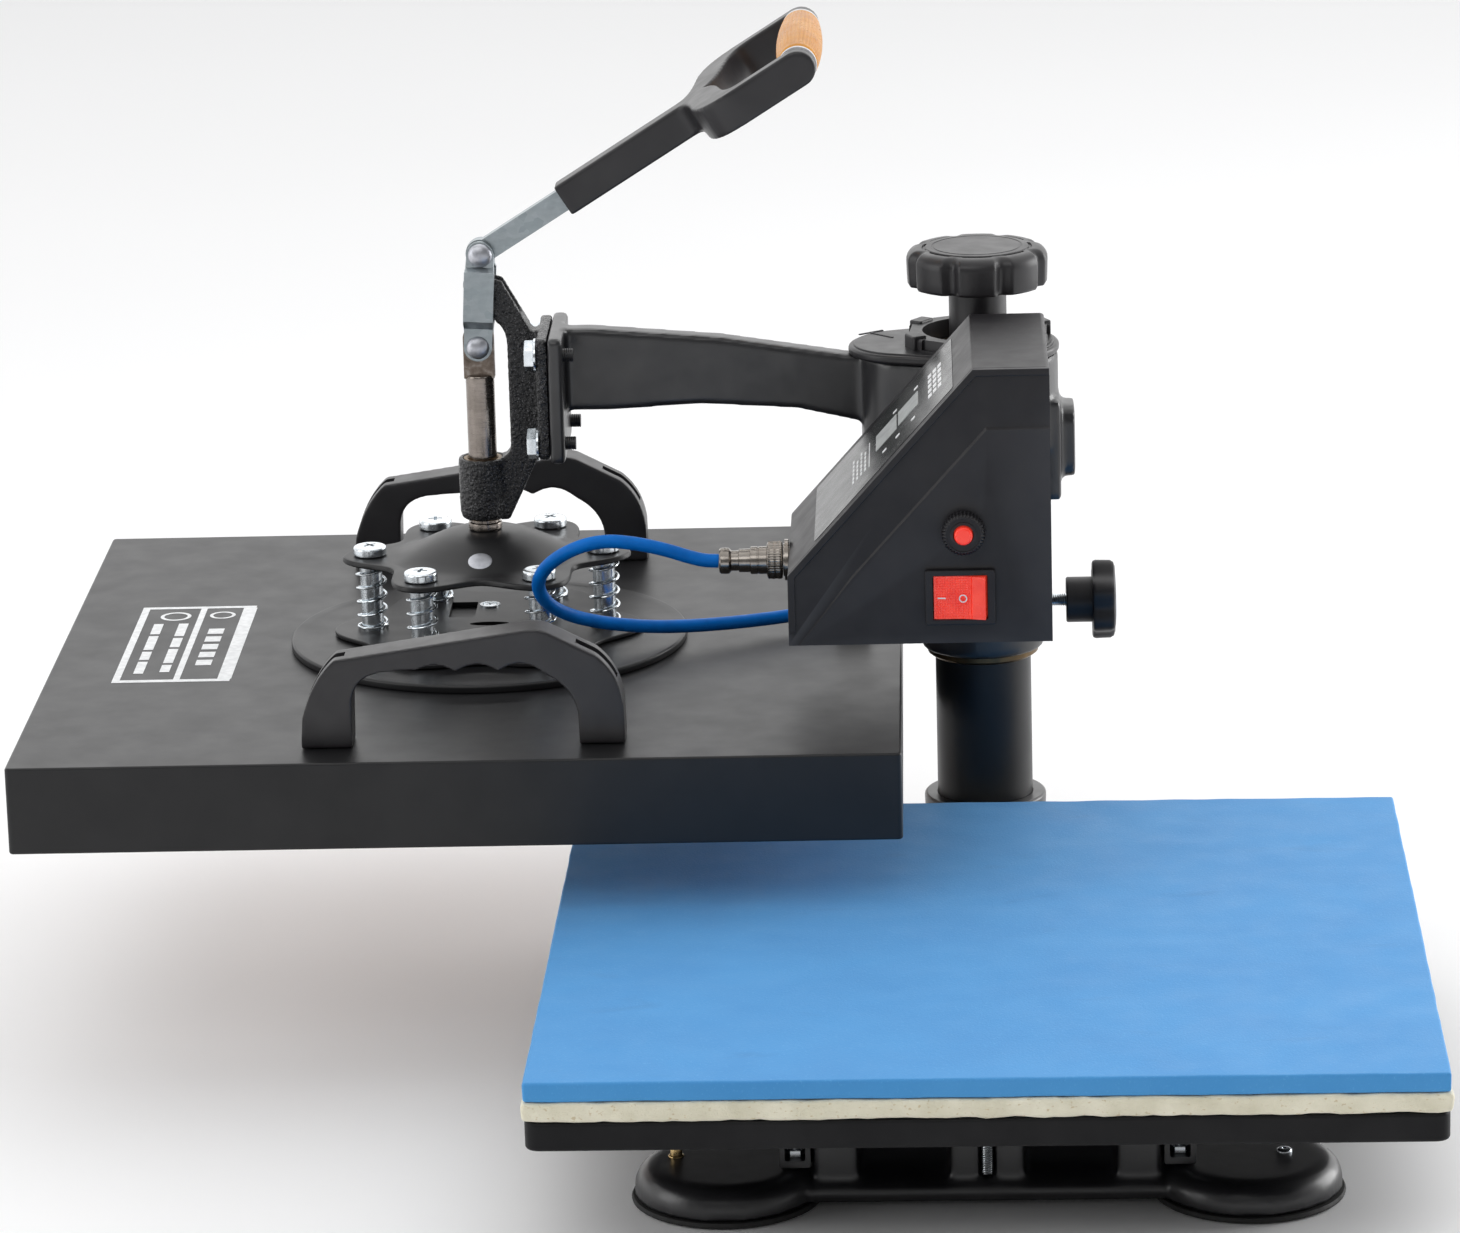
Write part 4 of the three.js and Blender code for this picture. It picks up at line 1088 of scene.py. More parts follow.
def make_hub_lid():
    low, high = extent("hub_lid", HEAD)
    plate = extrude(teardrop(37.6, 28, 32.5), low.z, low.z + 4.2, 1.6, 5)
    step = extrude(teardrop(35.4, 25.6, 32.5), low.z + 2, low.z + 4.9, 0.5, 3)
    rim = disc(34.2, low.z + 2, high.z - 1.1, 1.2)
    lug = extrude(rectangle(28.6, -5.2, 35.6, 5.2, 1.4), low.z + 2, high.z, 0.8, 3)
    lugs = [moved(lug, rotation(angle, "Z")) for angle in range(25, 385, 60)]
    notch = block((31.5, -9, low.z + 5.6), (40, 9, high.z + 2))
    gaps = [moved(notch, rotation(angle, "Z")) for angle in range(55, 415, 60)]
    body = join(cut(join(plate, step, rim), *gaps), *lugs)
    body = cut(body, disc(26, 280, 310))
    piece("hub_cover", body, GRIP, "arm", HEAD, replaces=["hub_lid"])
    arrow_z = low.z + 4.9
    strokes = []
    for start, end in (((-55.5, 15.5), (-44.5, 23.5)), ((-50.5, 19.2), (-39.8, 8.4))):
        direction = Vector(end) - Vector(start)
        angle = math.degrees(math.atan2(direction.y, direction.x))
        bar = block((0, -0.6, -0.2), (direction.length, 0.6, 0.35), 0.12)
        strokes.append(at(moved(bar, rotation(angle, "Z")), start[0], start[1], arrow_z))
    piece("hub_cover_mark", together(*strokes), PLASTIC, "arm", HEAD)


def web_outline():
    points = [(RAM_X + 29, 303.5), (RAM_X + 25.5, 303.5), (RAM_X + 12, 328)]
    points += [(PIVOT[0], PIVOT[1] + 4.8), (PIVOT[0], PIVOT[1] - 4.8)]
    points += bezier([(RAM_X + 8, 308.8), (RAM_X + 13.4, 306), (RAM_X + 13.6, 297)])
    points += bezier([(RAM_X + 13.8, 250), (RAM_X + 13.6, 244), (RAM_X + 8, 243)])
    points += [(RAM_X + 2, 213.4), (RAM_X + 12, 213.4), (RAM_X + 27.5, 245.6), (RAM_X + 29, 247.5)]
    return points


def make_head_bracket():
    foot = extent("head_bracket", HEAD)[0].z
    half = 6
    guide = at(revolve([(10.2, foot), (11.3, foot + 4), (11.5, foot + 8), (11.5, 243)]), RAM_X, 0, 0)
    boss = at(along_y(disc(4.8, -half, half)), PIVOT[0], 0, PIVOT[1])
    plate = crosswise(rectangle(-28, 247, 28, 304.5, 3), *BRACKET_FLANGE)
    body = cast(together(upright(web_outline(), -half, half), guide, boss, plate), 0.9, 1)
    tools = [
        at(disc(9.3, 200, 260), RAM_X, 0, 0),
        block((PIVOT[0] - 20, -3.4, PIVOT[1] - 14), (RAM_X + 24, 3.4, PIVOT[1] + 20)),
        at(along_y(disc(PIN_BORE, -10, 10, steps=32)), PIVOT[0], 0, PIVOT[1]),
    ]
    body = cast(carved(body, tools), 0.8, 1)
    piece(
        "bracket_casting", body, HAMMERED, "arm", HEAD,
        replaces=["head_bracket"], lumps=(0.22, 1.7),
    )


def make_guide_and_pivot():
    low, high = extent("guide_bush", HEAD)
    wall = [(7.0, low.z), (9, low.z), (9, high.z), (7.6, high.z), (7.0, high.z - 0.6)]
    bush = at(hoop(wall), RAM_X, 0, 0)
    piece("guide_sleeve", bush, BRONZE, "arm", HEAD, replaces=["guide_bush"])
    low, high = extent("lever_pivot_pin", HEAD)
    pin = along_y(revolve([(2.2, low.y), (3, low.y + 0.7), (3, high.y - 0.7), (2.2, high.y)], 48))
    pin = at(pin, PIVOT[0], 0, PIVOT[1])
    piece("pivot_pin", pin, BARE_STEEL, "arm", HEAD, replaces=["lever_pivot_pin"])


make_arm()
make_flange_bolts()
make_hub_lid()
make_head_bracket()
make_guide_and_pivot()

# ---- Control box ----

BOX_LOW, BOX_HIGH = extent("control_box", HEAD)
PLATE_LOW, PLATE_HIGH = extent("box_side_plate", HEAD)
SLOPE_FOOT = (-88, 222.5)
SLOPE_TOP = (-4, 315.5)
BOX_OUTLINE = [(-88, 190), (30, 190), (30, 315.5), SLOPE_TOP, SLOPE_FOOT]
SWITCH = (-11, 211.7)
BREAKER = (-9.2, 241.5)
SOCKET_Y, SOCKET_Z = -95, 215.5


def make_box():
    outer = upright(rounded(BOX_OUTLINE, 2.0, 4), BOX_LOW.y, BOX_HIGH.y, 1.0)
    inner = upright(inset(BOX_OUTLINE, 2.5), BOX_LOW.y - 3, BOX_HIGH.y - 2.5)
    hole = at(along_x(disc(6.3, -95, -80, steps=48)), 0, SOCKET_Y, SOCKET_Z)
    shell = cut(outer, inner, hole)
    piece("box_shell", shell, PLASTIC, "arm", HEAD, replaces=["control_box"])


def rim_outline():
    """The band along the side plate's slope and top."""
    band = inset(BOX_OUTLINE, 3.2)
    inner_top, inner_slope, inner_foot = band[2], band[3], band[4]
    return [
        (-88, 196), (inner_foot[0], 196), inner_foot, inner_slope, (30, inner_top[1]),
        (30, 315.5), SLOPE_TOP, SLOPE_FOOT,
    ]


def crease_field(front, base):
    """The field below the crease: it stands out along the crease and fades out to the lower left."""
    outer = [(29.9, 190.3), (29.9, 288.9), (1.4, 288.9), (-59.5, 221.7), (-84, 190.3)]
    inner = [(29.9, 190.3), (29.9, 287.9), (1.9, 287.9), (-58.9, 220.9), (-83, 190.3)]
    rises = [1, 1, 1, 0.45, 0.05]
    face = [(x, base - (base - front) * rise, z) for (x, z), rise in zip(inner, rises)]
    foot = [(x, base + 0.02, z) for x, z in outer]
    back = [(x, base + 0.6, z) for x, z in outer]
    return skin([back, foot, face])


def make_side_plate():
    front, back = PLATE_LOW.y, PLATE_HIGH.y
    base = front + 1.2
    plate = upright(BOX_OUTLINE, base, back)
    rim = upright(rim_outline(), front, back - 0.2, 0.55)
    x, z = SWITCH
    hole = upright(rectangle(x - 13.4, z - 11.3, x + 13.4, z + 11.3), front - 5, back + 5)
    round_hole = at(along_y(disc(7.3, front - 10, back + 10, steps=48)), BREAKER[0], 0, BREAKER[1])
    body = cut(join(plate, rim, crease_field(front + 0.1, base)), hole, round_hole)
    piece("box_side", body, PLASTIC, "arm", HEAD, replaces=["box_side_plate"], sharp=20)


def on_slope(low_s, low_y, high_s, high_y, lift, thickness, radius=0.4):
    """A thin plate on the slanted face, given along the slope and along Y."""
    outline = rectangle(low_s, low_y, high_s, high_y, radius)
    shape = extrude(outline, lift, lift + thickness)
    angle = math.degrees(math.atan2(SLOPE_TOP[1] - SLOPE_FOOT[1], SLOPE_TOP[0] - SLOPE_FOOT[0]))
    return moved(shape, shift(SLOPE_FOOT[0], 0, SLOPE_FOOT[1]) @ rotation(-angle, "Y"))


def make_control_panel():
    film = on_slope(18.5, -143, 112.5, -47, 0, 0.25, 2.0)
    piece("panel_film", film, FILM, "arm", HEAD, sharp=20)
    windows = together(
        on_slope(60.5, -104, 74.5, -76, 0.25, 0.2), on_slope(75.8, -102, 89.2, -77, 0.25, 0.2)
    )
    piece("panel_displays", windows, DISPLAY, "arm", HEAD, sharp=20)
    marks = []

    def mark(s, y, height, width, radius):
        marks.append(on_slope(s, y, s + height, y + width, 0.25, 0.12, radius))

    for row in range(3):
        for column in range(5):
            mark(96.3 + 3.3 * row, -115 + 9.4 * column, 2.3, 6.4, 0.5)
    for row in range(4):
        for column in range(6 - row % 2):
            mark(44.4 + 2.7 * row, -117 + 7.2 * column, 1.1, 5.4, 0.3)
    mark(55.6, -118, 0.5, 44, 0.1)
    for s in (84.5, 74, 65):
        mark(s, -121, 2.6, 3.4, 0.5)
    for s in (86.7, 72.1):
        mark(s, -69.4, 2.6, 3.4, 0.5)
    piece("panel_marks", together(*marks), INK, "arm", HEAD, sharp=20)


def make_switch():
    front = PLATE_LOW.y
    x, z = SWITCH
    bezel = upright(rectangle(x - 15.6, z - 12.6, x + 15.6, z + 12.6, 1.2), front - 2, front - 0.3, 0.5)
    body = upright(rectangle(x - 13, z - 11, x + 13, z + 11), front - 1, front + 20)
    well = upright(rectangle(x - 12.3, z - 10.2, x + 12.3, z + 10.2, 0.6), front - 6, front + 14)
    shape = cut(join(bezel, body), well)
    piece("switch_bezel", shape, PLASTIC, "arm", HEAD, replaces=["switch_frame"])
    place = HEAD @ shift(x, front - 0.4, z) @ rotation(-8, "Z")
    piece("rocker_cap", rocker_shape(), RED, "switch", place, replaces=["switch_rocker"], sharp=25)
    dash = block((-9.8, -3.15, -0.28), (-6.2, -2.6, 0.28))
    ring = along_y(hoop([(1.35, 2.6), (1.85, 2.6), (1.85, 2.85), (1.35, 2.85)], 40))
    ring = moved(ring, rotation(180, "Z"))
    piece("rocker_marks", together(dash, at(ring, 1.6, 0, 0)), INK, "switch", place)


def rocker_face(x):
    """How far the rocker's face stands out in front at x."""
    middle = 0.9
    return 2.4 - 1.2 * math.cos((x - middle) / 11.6 * math.pi / 2) ** 2


def rocker_shape():
    """A rocker with a fine grid on its face, dished in the middle, and a plain end."""
    half_width = 11.6
    half_height = 9.8
    pitch = 1.15
    columns = [-half_width + pitch / 4 * step for step in range(59)] + [5.2, 5.5, 8, 11.0, half_width]
    rows = [-half_height + 2 * half_height * step / 68 for step in range(69)]

    def face_point(x, z):
        out = rocker_face(x)
        from_groove = min(abs((x / pitch) % 1 - 0.5), abs((z / pitch) % 1 - 0.5))
        if -10.6 < x < 4.6 and abs(z) < half_height - 0.8 and from_groove < 0.13:
            out -= 0.16
        if 5.1 < x < 5.4:
            out -= 0.5
        return (x, -out, z)

    points = [face_point(x, z) for x in columns for z in rows]
    count = len(rows)
    faces = []
    for i in range(len(columns) - 1):
        for j in range(count - 1):
            a = i * count + j
            faces.append((a, a + count, a + count + 1, a + 1))
    border = list(range(count))
    border += [i * count + count - 1 for i in range(1, len(columns))]
    border += [(len(columns) - 1) * count + j for j in range(count - 2, -1, -1)]
    border += [i * count for i in range(len(columns) - 2, 0, -1)]
    start = len(points)
    points += [(points[index][0] * 0.98, 6.0, points[index][2]) for index in border]
    size = len(border)
    for k in range(size):
        following = (k + 1) % size
        faces.append((border[k], border[following], start + following, start + k))
    faces.append(tuple(range(start, start + size)))
    return points, faces


def make_breaker():
    x, z = BREAKER
    front = extent("breaker_bezel", HEAD)[0].y
    depth = PLATE_LOW.y - 0.3 - front
    levels = [(0, -depth), (0, -1.6), (0.5, -0.8), (1.4, 0)]
    collar = polar(waved(9.55, -0.25, 36), levels, 288)
    shank = disc(7, -20, -depth + 1)
    bore = disc(4.6, -30, 10)
    shape = cut(join(collar, shank), bore)
    groove = hoop([(5.9, -0.5), (7.6, -0.5), (7.6, 3), (5.9, 3)], 96)
    shape = cut(shape, groove)
    facing = HEAD @ shift(x, front, z) @ rotation(90, "X")
    piece("breaker_collar", shape, PLASTIC, "arm", facing, replaces=["breaker_bezel"])
    reach = front - extent("breaker_button", HEAD)[0].y
    button = revolve([(4.1, -14), (4.1, reach - 1.3)] + arc((2.9, reach - 1.2), 1.2, 0, 90, 6)[1:], 64)
    piece("breaker_cap", button, RED_BUTTON, "breaker", facing, replaces=["breaker_button"])


make_box()
make_side_plate()
make_control_panel()
make_switch()
make_breaker()

# ---- Panel socket, plug and gland ----


def knurled(radius, low, high):
    """A short band with a diamond knurl, and a plain ring at each end."""
    depth = 0.35
    last = 16
    rings = [circle(radius - depth - 0.25, low, 192)]
    for level in range(1, last):
        share = level / last
        twist = share * 5 * math.pi / 2

        def reach(angle):
            relief = math.sin(24 * angle + twist) * math.sin(24 * angle - twist)
            return radius - depth * (0.5 - 0.5 * relief)

        rings.append(circle(reach, low + (high - low) * share, 192))
    rings.append(circle(radius - depth - 0.25, high, 192))
    return skin(rings)


def make_connector():
    low, high = extent("cable_socket", HEAD)
    rim = low.x + 0.6
    seat = low.x + 2.5
    socket = [(4, low.x), (7.5, low.x), (7.5, rim), (9.4, rim), (9.4, seat - 0.2), (9, seat)]
    socket += [(6, seat), (6, high.x), (4, high.x)]
    socket = at(along_x(hoop(socket)), 0, SOCKET_Y, SOCKET_Z)
    piece("panel_socket", socket, CONNECTOR, "arm", HEAD, replaces=["cable_socket"])
    low, high = extent("cable_plug", HEAD)
    barrel = [(5.2, 0), (5.9, 0.7), (6.0, 2.5), (5.9, 4.4), (5.2, 5), (4.6, 5.5), (4.6, 8.7), (5.3, 9)]
    barrel += [(5.4, 14), (6.1, 14.2), (6.3, 14.6), (6.3, 17.2), (6.05, 17.4), (6.05, 17.9)]
    barrel += [(6.3, 18.1), (6.3, 21.4), (7.6, 21.8)]
    barrel = [(radius, low.x + along) for radius, along in barrel] + [(7.6, high.x - 0.4), (7, high.x)]
    ring = knurled(8.7, low.x + 22, high.x - 0.2)
    screw = at(along_y(pan_head(1.6, 1.4)), low.x + 3, 4.8, 0)
    plug = together(along_x(revolve(barrel)), along_x(ring), screw)
    plug = at(plug, 0, SOCKET_Y, SOCKET_Z)
    piece("cable_connector", plug, CONNECTOR, "arm", HEAD, replaces=["cable_plug"])


def make_gland():
    low, high = extent("cable_gland", HEAD)
    y = middle(low, high).y
    axis_z = CABLE_ROUTE[-1][2]
    nose = [(3.4, low.x), (4.6, low.x), (5.6, low.x + 1), (6.6, low.x + 4)]
    nose += [(6.6, high.x - 1), (6, high.x), (3.4, high.x)]
    nose = at(along_x(hoop(nose, 64)), 0, y, axis_z)
    flange = extrude(rectangle(low.x + 1, low.y, high.x, high.y, 3), low.z, low.z + 4.2, 0.8)
    bore = at(along_x(disc(3.4, low.x - 2, high.x + 2, steps=32)), 0, y, axis_z)
    shape = join(nose, cut(flange, bore))
    piece("cable_boot", shape, PLASTIC, "platen", HEAD, replaces=["cable_gland"])


make_connector()
make_gland()

# ---- Clamp knob ----


def make_clamp():
    low, high = extent("clamp_knob", HEAD)
    back, front = 51.6, high.x
    levels = [(1.6, back), (0.5, back + 0.4), (0, back + 1.6)]
    levels += [(0.2, front - 3.2), (1.2, front - 1.6), (3.2, front - 0.9)]
    star = polar(waved(17.6, 1.4, 6), levels, 192)
    hub = revolve([(10.2, low.x), (10.7, low.x + 0.6), (10.7, back + 1)])
    bore = disc(PIN_BORE, low.x - 5, 56, steps=48)
    shape = cut(join(star, hub), bore)
    piece(
        "clamp_star", at(along_x(shape), 0, 0, CLAMP_Z), PLASTIC, "clamp", HEAD,
        replaces=["clamp_knob"],
    )
    cap = revolve([(12.4, front - 1.6), (12.2, front - 0.7), (9, front - 0.25), (2, front)], 64)
    piece("clamp_star_cap", at(along_x(cap), 0, 0, CLAMP_Z), PALE, "clamp", HEAD)
    low, high = extent("clamp_stud", HEAD)
    stud = at(along_x(threaded(3.0, 1.0, low.x, high.x)), 0, 0, CLAMP_Z)
    piece("clamp_stud_thread", stud, ZINC, "clamp", HEAD, replaces=["clamp_stud"])


make_clamp()

# ---- Lever ----

PIN_X = CRANK * math.cos(CRANK_ANGLE - math.radians(LEVER_ANGLE))
PIN_Z = CRANK * math.sin(CRANK_ANGLE - math.radians(LEVER_ANGLE))
GRIP_END = PIN_X + 177.4
FORK = 59
FORK_INNER = 50


def fork_outline():
    far = GRIP_END + 8.3
    upper = [(PIN_X + 46.5, -6.5), (PIN_X + 114, -6.5)]
    upper += bezier([(PIN_X + 114, -6.5), (PIN_X + 126, -7), (PIN_X + 119, -48), (PIN_X + 134, -56)], 16)
    upper += bezier([(PIN_X + 134, -56), (PIN_X + 139, -FORK), (PIN_X + 148, -FORK)], 8)
    upper += [(far, -FORK), (far, -FORK_INNER), (PIN_X + 152, -FORK_INNER)]
    inner = [(PIN_X + 152, -FORK_INNER), (PIN_X + 136, -50), (PIN_X + 143, -14), (PIN_X + 130, 0)]
    upper += bezier(inner, 16)
    return upper + [(x, -y) for x, y in upper[-2::-1]]


def grip_side_outline():
    points = [(PIN_X + 40, PIN_Z - 7.8), (PIN_X + 118, PIN_Z - 7.8), (PIN_X + 126, PIN_Z - 8.3)]
    points += arc((GRIP_END, PIN_Z), 8.3, -90, 90, 20)
    return points + [(PIN_X + 126, PIN_Z + 8.3), (PIN_X + 118, PIN_Z + 7.8), (PIN_X + 40, PIN_Z + 7.8)]


def make_lever():
    half = 3
    pin = along_y(disc(PIN_BORE, -8, 8, steps=40))
    crank = [(-6.2, 3), (4, -5.2), (PIN_X + 6, PIN_Z - 3), (PIN_X - 4, PIN_Z + 5.2)]
    bar = join(
        along_y(disc(7, -half, half)),
        at(along_y(disc(6.8, -half, half)), PIN_X, 0, PIN_Z),
        upright(crank, -half, half),
        block((PIN_X, -half, PIN_Z - 5.2), (PIN_X + 112, half, PIN_Z + 5.2)),
    )
    bar = bevelled(cut(bar, pin, at(pin, PIN_X, 0, PIN_Z)), 0.45)
    piece("lever_strip", bar, GALVANISED, "lever", LEVER, replaces=["lever_bar"])
    plan = extrude(fork_outline(), PIN_Z - 8.5, PIN_Z + 8.5)
    grip = common(plan, upright(grip_side_outline(), -80, 80), "MANIFOLD")
    pocket = block((PIN_X + 30, -half - 0.3, PIN_Z - 5.5), (PIN_X + 112.3, half + 0.3, PIN_Z + 5.5))
    grip = carved(cast(grip, 0.9, 5), [pocket])
    piece("lever_fork", grip, GRIP, "lever", LEVER, replaces=["lever_grip"], sharp=60)
    rod = along_y(revolve([(2.6, -FORK + 1.2), (3, -FORK + 1.8), (3, FORK - 1.8), (2.6, FORK - 1.2)], 40))
    piece("axle_rod", at(rod, GRIP_END, 0, PIN_Z), ZINC, "lever", LEVER, replaces=["roller_axle"])
    for name, side in (("front", -1), ("rear", 1)):
        washer = hoop([(3.2, 46.8), (8.6, 46.8), (8.8, 47.1), (8.8, 48.6), (8.6, 48.9), (3.2, 48.9)])
        washer = moved(along_y(washer), Matrix.Scale(side, 4, (0, 1, 0)))
        washer = at(washer, GRIP_END, 0, PIN_Z)
        piece(f"roller_washer_{name}", washer, PALE, "lever", LEVER)


def barrel_reach(share):
    """The roller's radius, from one end at -1 to the other at 1."""
    return 9.0 + 1.7 * (1 - share * share)


def make_roller():
    half = 46
    levels = 48
    steps = 216
    rings = [circle(8.2, -half, steps)]
    for level in range(1, levels):
        share = -1 + 2 * level / levels
        ridge = 0 if abs(share) > 0.9 else 0.42

        def reach(angle):
            return barrel_reach(share) - ridge * (0.5 - 0.5 * math.cos(36 * angle)) - 0.08

        rings.append(circle(reach, half * share, steps))
    rings += [circle(8.2, half, steps), circle(PIN_BORE, half, steps), circle(PIN_BORE, -half, steps)]
    barrel = at(along_y(skin(rings, loop=True)), GRIP_END, 0, PIN_Z)
    piece("roller_barrel", barrel, AMBER, "roller", LEVER, replaces=["roller_grip"], sharp=50)


make_lever()
make_roller()

# ---- Toggle links ----


def link_strip():
    near, far, bulge = 3.3, 6.0, 3.8
    profile = [
        (near, 7), (near, -6.1), (near + bulge, -7.8), (near + bulge, -30), (near, -34), (near, -51),
        (far, -51), (far, -35), (far + bulge, -31), (far + bulge, -7.5), (far, -5.8), (far, 7),
    ]
    strip = crosswise(profile, -8, 8)
    outline = arc((0, 0), 6.4, 0, 180, 20) + [(-6.4, -5), (-7, -8), (-7, -33), (-6.6, -37)]
    outline += arc((0, -LINK_LENGTH), 6.6, 180, 360, 20) + [(6.6, -37), (7, -33), (7, -8), (6.4, -5)]
    plate = common(strip, upright(outline, -2, 20))
    bore = along_y(disc(PIN_BORE, -1, 20, steps=32))
    return bevelled(cut(plate, bore), 0.4, 2, 40)


def rivet_dome(radius, height):
    """A domed head seated at height 0."""
    turns = [math.radians(angle) for angle in range(8, 89, 8)]
    dome = [(radius * math.cos(turn), height * math.sin(turn)) for turn in turns]
    return revolve([(radius, 0)] + dome, 48)


def make_links():
    strip = link_strip()
    mirror = Matrix.Scale(-1, 4, (0, 1, 0))
    for name, matrix in (("link_front", mirror), ("link_rear", PRESS)):
        plate = moved(strip, matrix)
        piece(name + "_strip", plate, GALVANISED, "links", LINK, replaces=[name])
        dome = at(along_y(at(rivet_dome(5.4, 3), 0, 0, 5.9)), 0, 0, -LINK_LENGTH)
        piece(name + "_rivet", moved(dome, matrix), SATIN, "links", LINK)
    seat = 6.3
    shank = disc(3, -seat - 0.1, seat + 0.1)
    dome = at(rivet_dome(5.6, 3), 0, 0, seat)
    shape = along_y(together(shank, dome, moved(dome, rotation(180, "X"))))
    piece("upper_rivet_domes", shape, SATIN, "links", LINK, replaces=["upper_rivet"])


make_links()

# ---- Ram and floating head ----

BOLT_CIRCLE = 55
BOLT_BORE = 5.5
SPIDER_TOP = 196
BOLT_PLACES = [(RAM_X + x, y) for x, y, _ in circle(BOLT_CIRCLE, 0, 6)]


def make_ram():
    shaft = [(6.7, extent("ram_shaft", HEAD)[0].z), (6.7, 208.2), (7.7, 208.5), (7.9, 208.8)]
    shaft += [(7.9, 211.2), (7.7, 211.5), (6.7, 211.8), (6.7, 281.6), (6.2, 282.4)]
    piece("ram_rod", at(revolve(shaft), RAM_X, 0, 0), NICKEL, "ram", HEAD, replaces=["ram_shaft"])
    outline = [(-7.2, 281), (7.2, 281), (7.2, 300)] + arc((0, 300), 7.2, 0, 180, 24)[1:]
    tongue = bevelled(upright(outline, -3, 3), 0.4)
    piece("ram_tongue", at(tongue, RAM_X, 0, 0), BARE_STEEL, "ram", HEAD)


def bolt_bores(low, high):
    return [at(disc(BOLT_BORE, low, high, steps=32), x - RAM_X, y, 0) for x, y in BOLT_PLACES]


def make_spider():
    bottom, top = extent("spider_plate", HEAD)[0].z, SPIDER_TOP
    steps = 240
    star = waved(59, 9, 6)
    foot = 44.4
    dome = [(7, 12), (11, 11.8), (17, 11), (23, 9), (29, 6.2), (35, 3.2), (40, 1), (44, 0)]
    rings = [circle(radius, top + height, steps) for radius, height in dome]

    def star_ring(inside, height, share=1.0):
        return circle(lambda angle: foot + (star(angle) - inside - foot) * share, height, steps)

    rings.append(star_ring(1.4, top, 0.3))
    rings += [star_ring(1.4, top), star_ring(0.6, top - 0.25), star_ring(0.1, top - 0.9)]
    rings += [star_ring(0.0, bottom + 0.6), star_ring(0.5, bottom)]
    under = [(42, -2.6), (35.5, 0.4), (27, 4.6), (15, 8.6), (7, 9.3)]
    rings += [circle(radius, top + height, steps) for radius, height in under]
    shape = carved(skin(rings[::-1], loop=True), bolt_bores(150, 220))
    piece("spider_dome", at(shape, RAM_X, 0, 0), COAT, "ram", HEAD, replaces=["spider_plate"])
    rivet = revolve([(5.6, 0), (5.6, 0.5), (5.0, 0.8), (1, 0.9)], 40)
    slope = rotation(26, "X")
    piece("dome_rivet", moved(rivet, shift(RAM_X - 0.8, -32, 200.2) @ slope), SATIN, "ram", HEAD)


def make_spring_plate():
    low, high = extent("spring_plate", HEAD)
    plate = extrude(lobed(67, 6, 6, 180), low.z, high.z, 0.6, 3)
    tools = bolt_bores(150, 170)
    for y_low, y_high in ((-43, -16), (16, 43)):
        tools.append(extrude(rectangle(-20.5, y_low, -8, y_high, 1), low.z - 4, high.z + 4))
    tools.append(at(moved(disc(9.5, low.z - 4, high.z + 4), Matrix.Scale(0.35, 4, (0, 1, 0))), 0, 4, 0))
    shape = at(cut(plate, *tools), RAM_X, 0, 0)
    piece("spring_seat_plate", shape, COAT, "platen", HEAD, replaces=["spring_plate"])
    boss = hoop([(3.6, -0.4), (4.9, -0.4), (4.9, 0.8), (3.6, 0.8)], 48)
    screw = together(boss, at(pan_head(3.4, 1.0), 0, 0, -0.2))
    piece("spring_plate_screw", at(screw, RAM_X - 2, 36.2, high.z), ZINC, "platen", HEAD)


def make_pressed_disc():
    low, high = extent("cover_disc", HEAD)
    rim = [(93.2, low.z), (93.5, low.z + 0.6)] + arc((92.2, high.z - 1.3), 1.3, 0, 90, 6)
    rim += [(88, high.z), (87, high.z - 0.25), (80, high.z - 0.25)]
    shape = at(revolve(rim, 160), RAM_X, 0, 0)
    piece("pressed_disc", shape, COAT, "platen", HEAD, replaces=["cover_disc"])


def make_float_bolts():
    for index, (x, y) in enumerate(BOLT_PLACES):
        node = f"float_bolt_{index + 1}"
        head = moved(cheese_head(7.8, 4.7), shift(0, 0, SPIDER_TOP + 0.3) @ rotation(37 * index, "Z"))
        shank = disc(5.2, extent(node, HEAD)[0].z, SPIDER_TOP + 1)
        screw = at(together(head, shank), x, y, 0)
        piece(f"{node}_screw", screw, ZINC, "platen", HEAD, replaces=[node])
        make_spring(f"float_spring_{index + 1}", x, y)


def make_spring(node, x, y):
    """A compression spring whose end turns lie close together."""
    low, high = extent(node, HEAD)
    wire = 0.58
    bottom, top = low.z + wire, high.z - wire
    radius = 6.8
    turns = 6
    steps_per_turn = 28
    end = 0.8
    pitch = wire * 1.9
    span = top - bottom - pitch * 2 * end
    path = []
    for step in range(turns * steps_per_turn + 1):
        turn = step / steps_per_turn
        eased = min(max((turn - end) / (turns - 2 * end), 0), 1)
        rise = pitch * (min(turn, end) + max(turn - turns + end, 0))
        angle = TAU * turn
        path.append((radius * math.cos(angle), radius * math.sin(angle), bottom + rise + span * eased))
    coil = at(tube(path, wire, 10), x, y, 0)
    spring = piece(f"{node}_coil", coil, ZINC, "platen", HEAD, replaces=[node])
    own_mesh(spring)


def make_cover():
    low, high = extent("head_cover", HEAD)
    sheet = 2
    outer = extrude(rectangle(low.x, low.y, high.x, high.y, 2.5), low.z, high.z, 1.1, 5)
    inner = block((low.x + sheet, low.y + sheet, low.z - 5), (high.x - sheet, high.y - sheet, high.z - sheet))
    piece("cover_pan", cut(outer, inner), COAT, "platen", HEAD, replaces=["head_cover"])
    return high.z


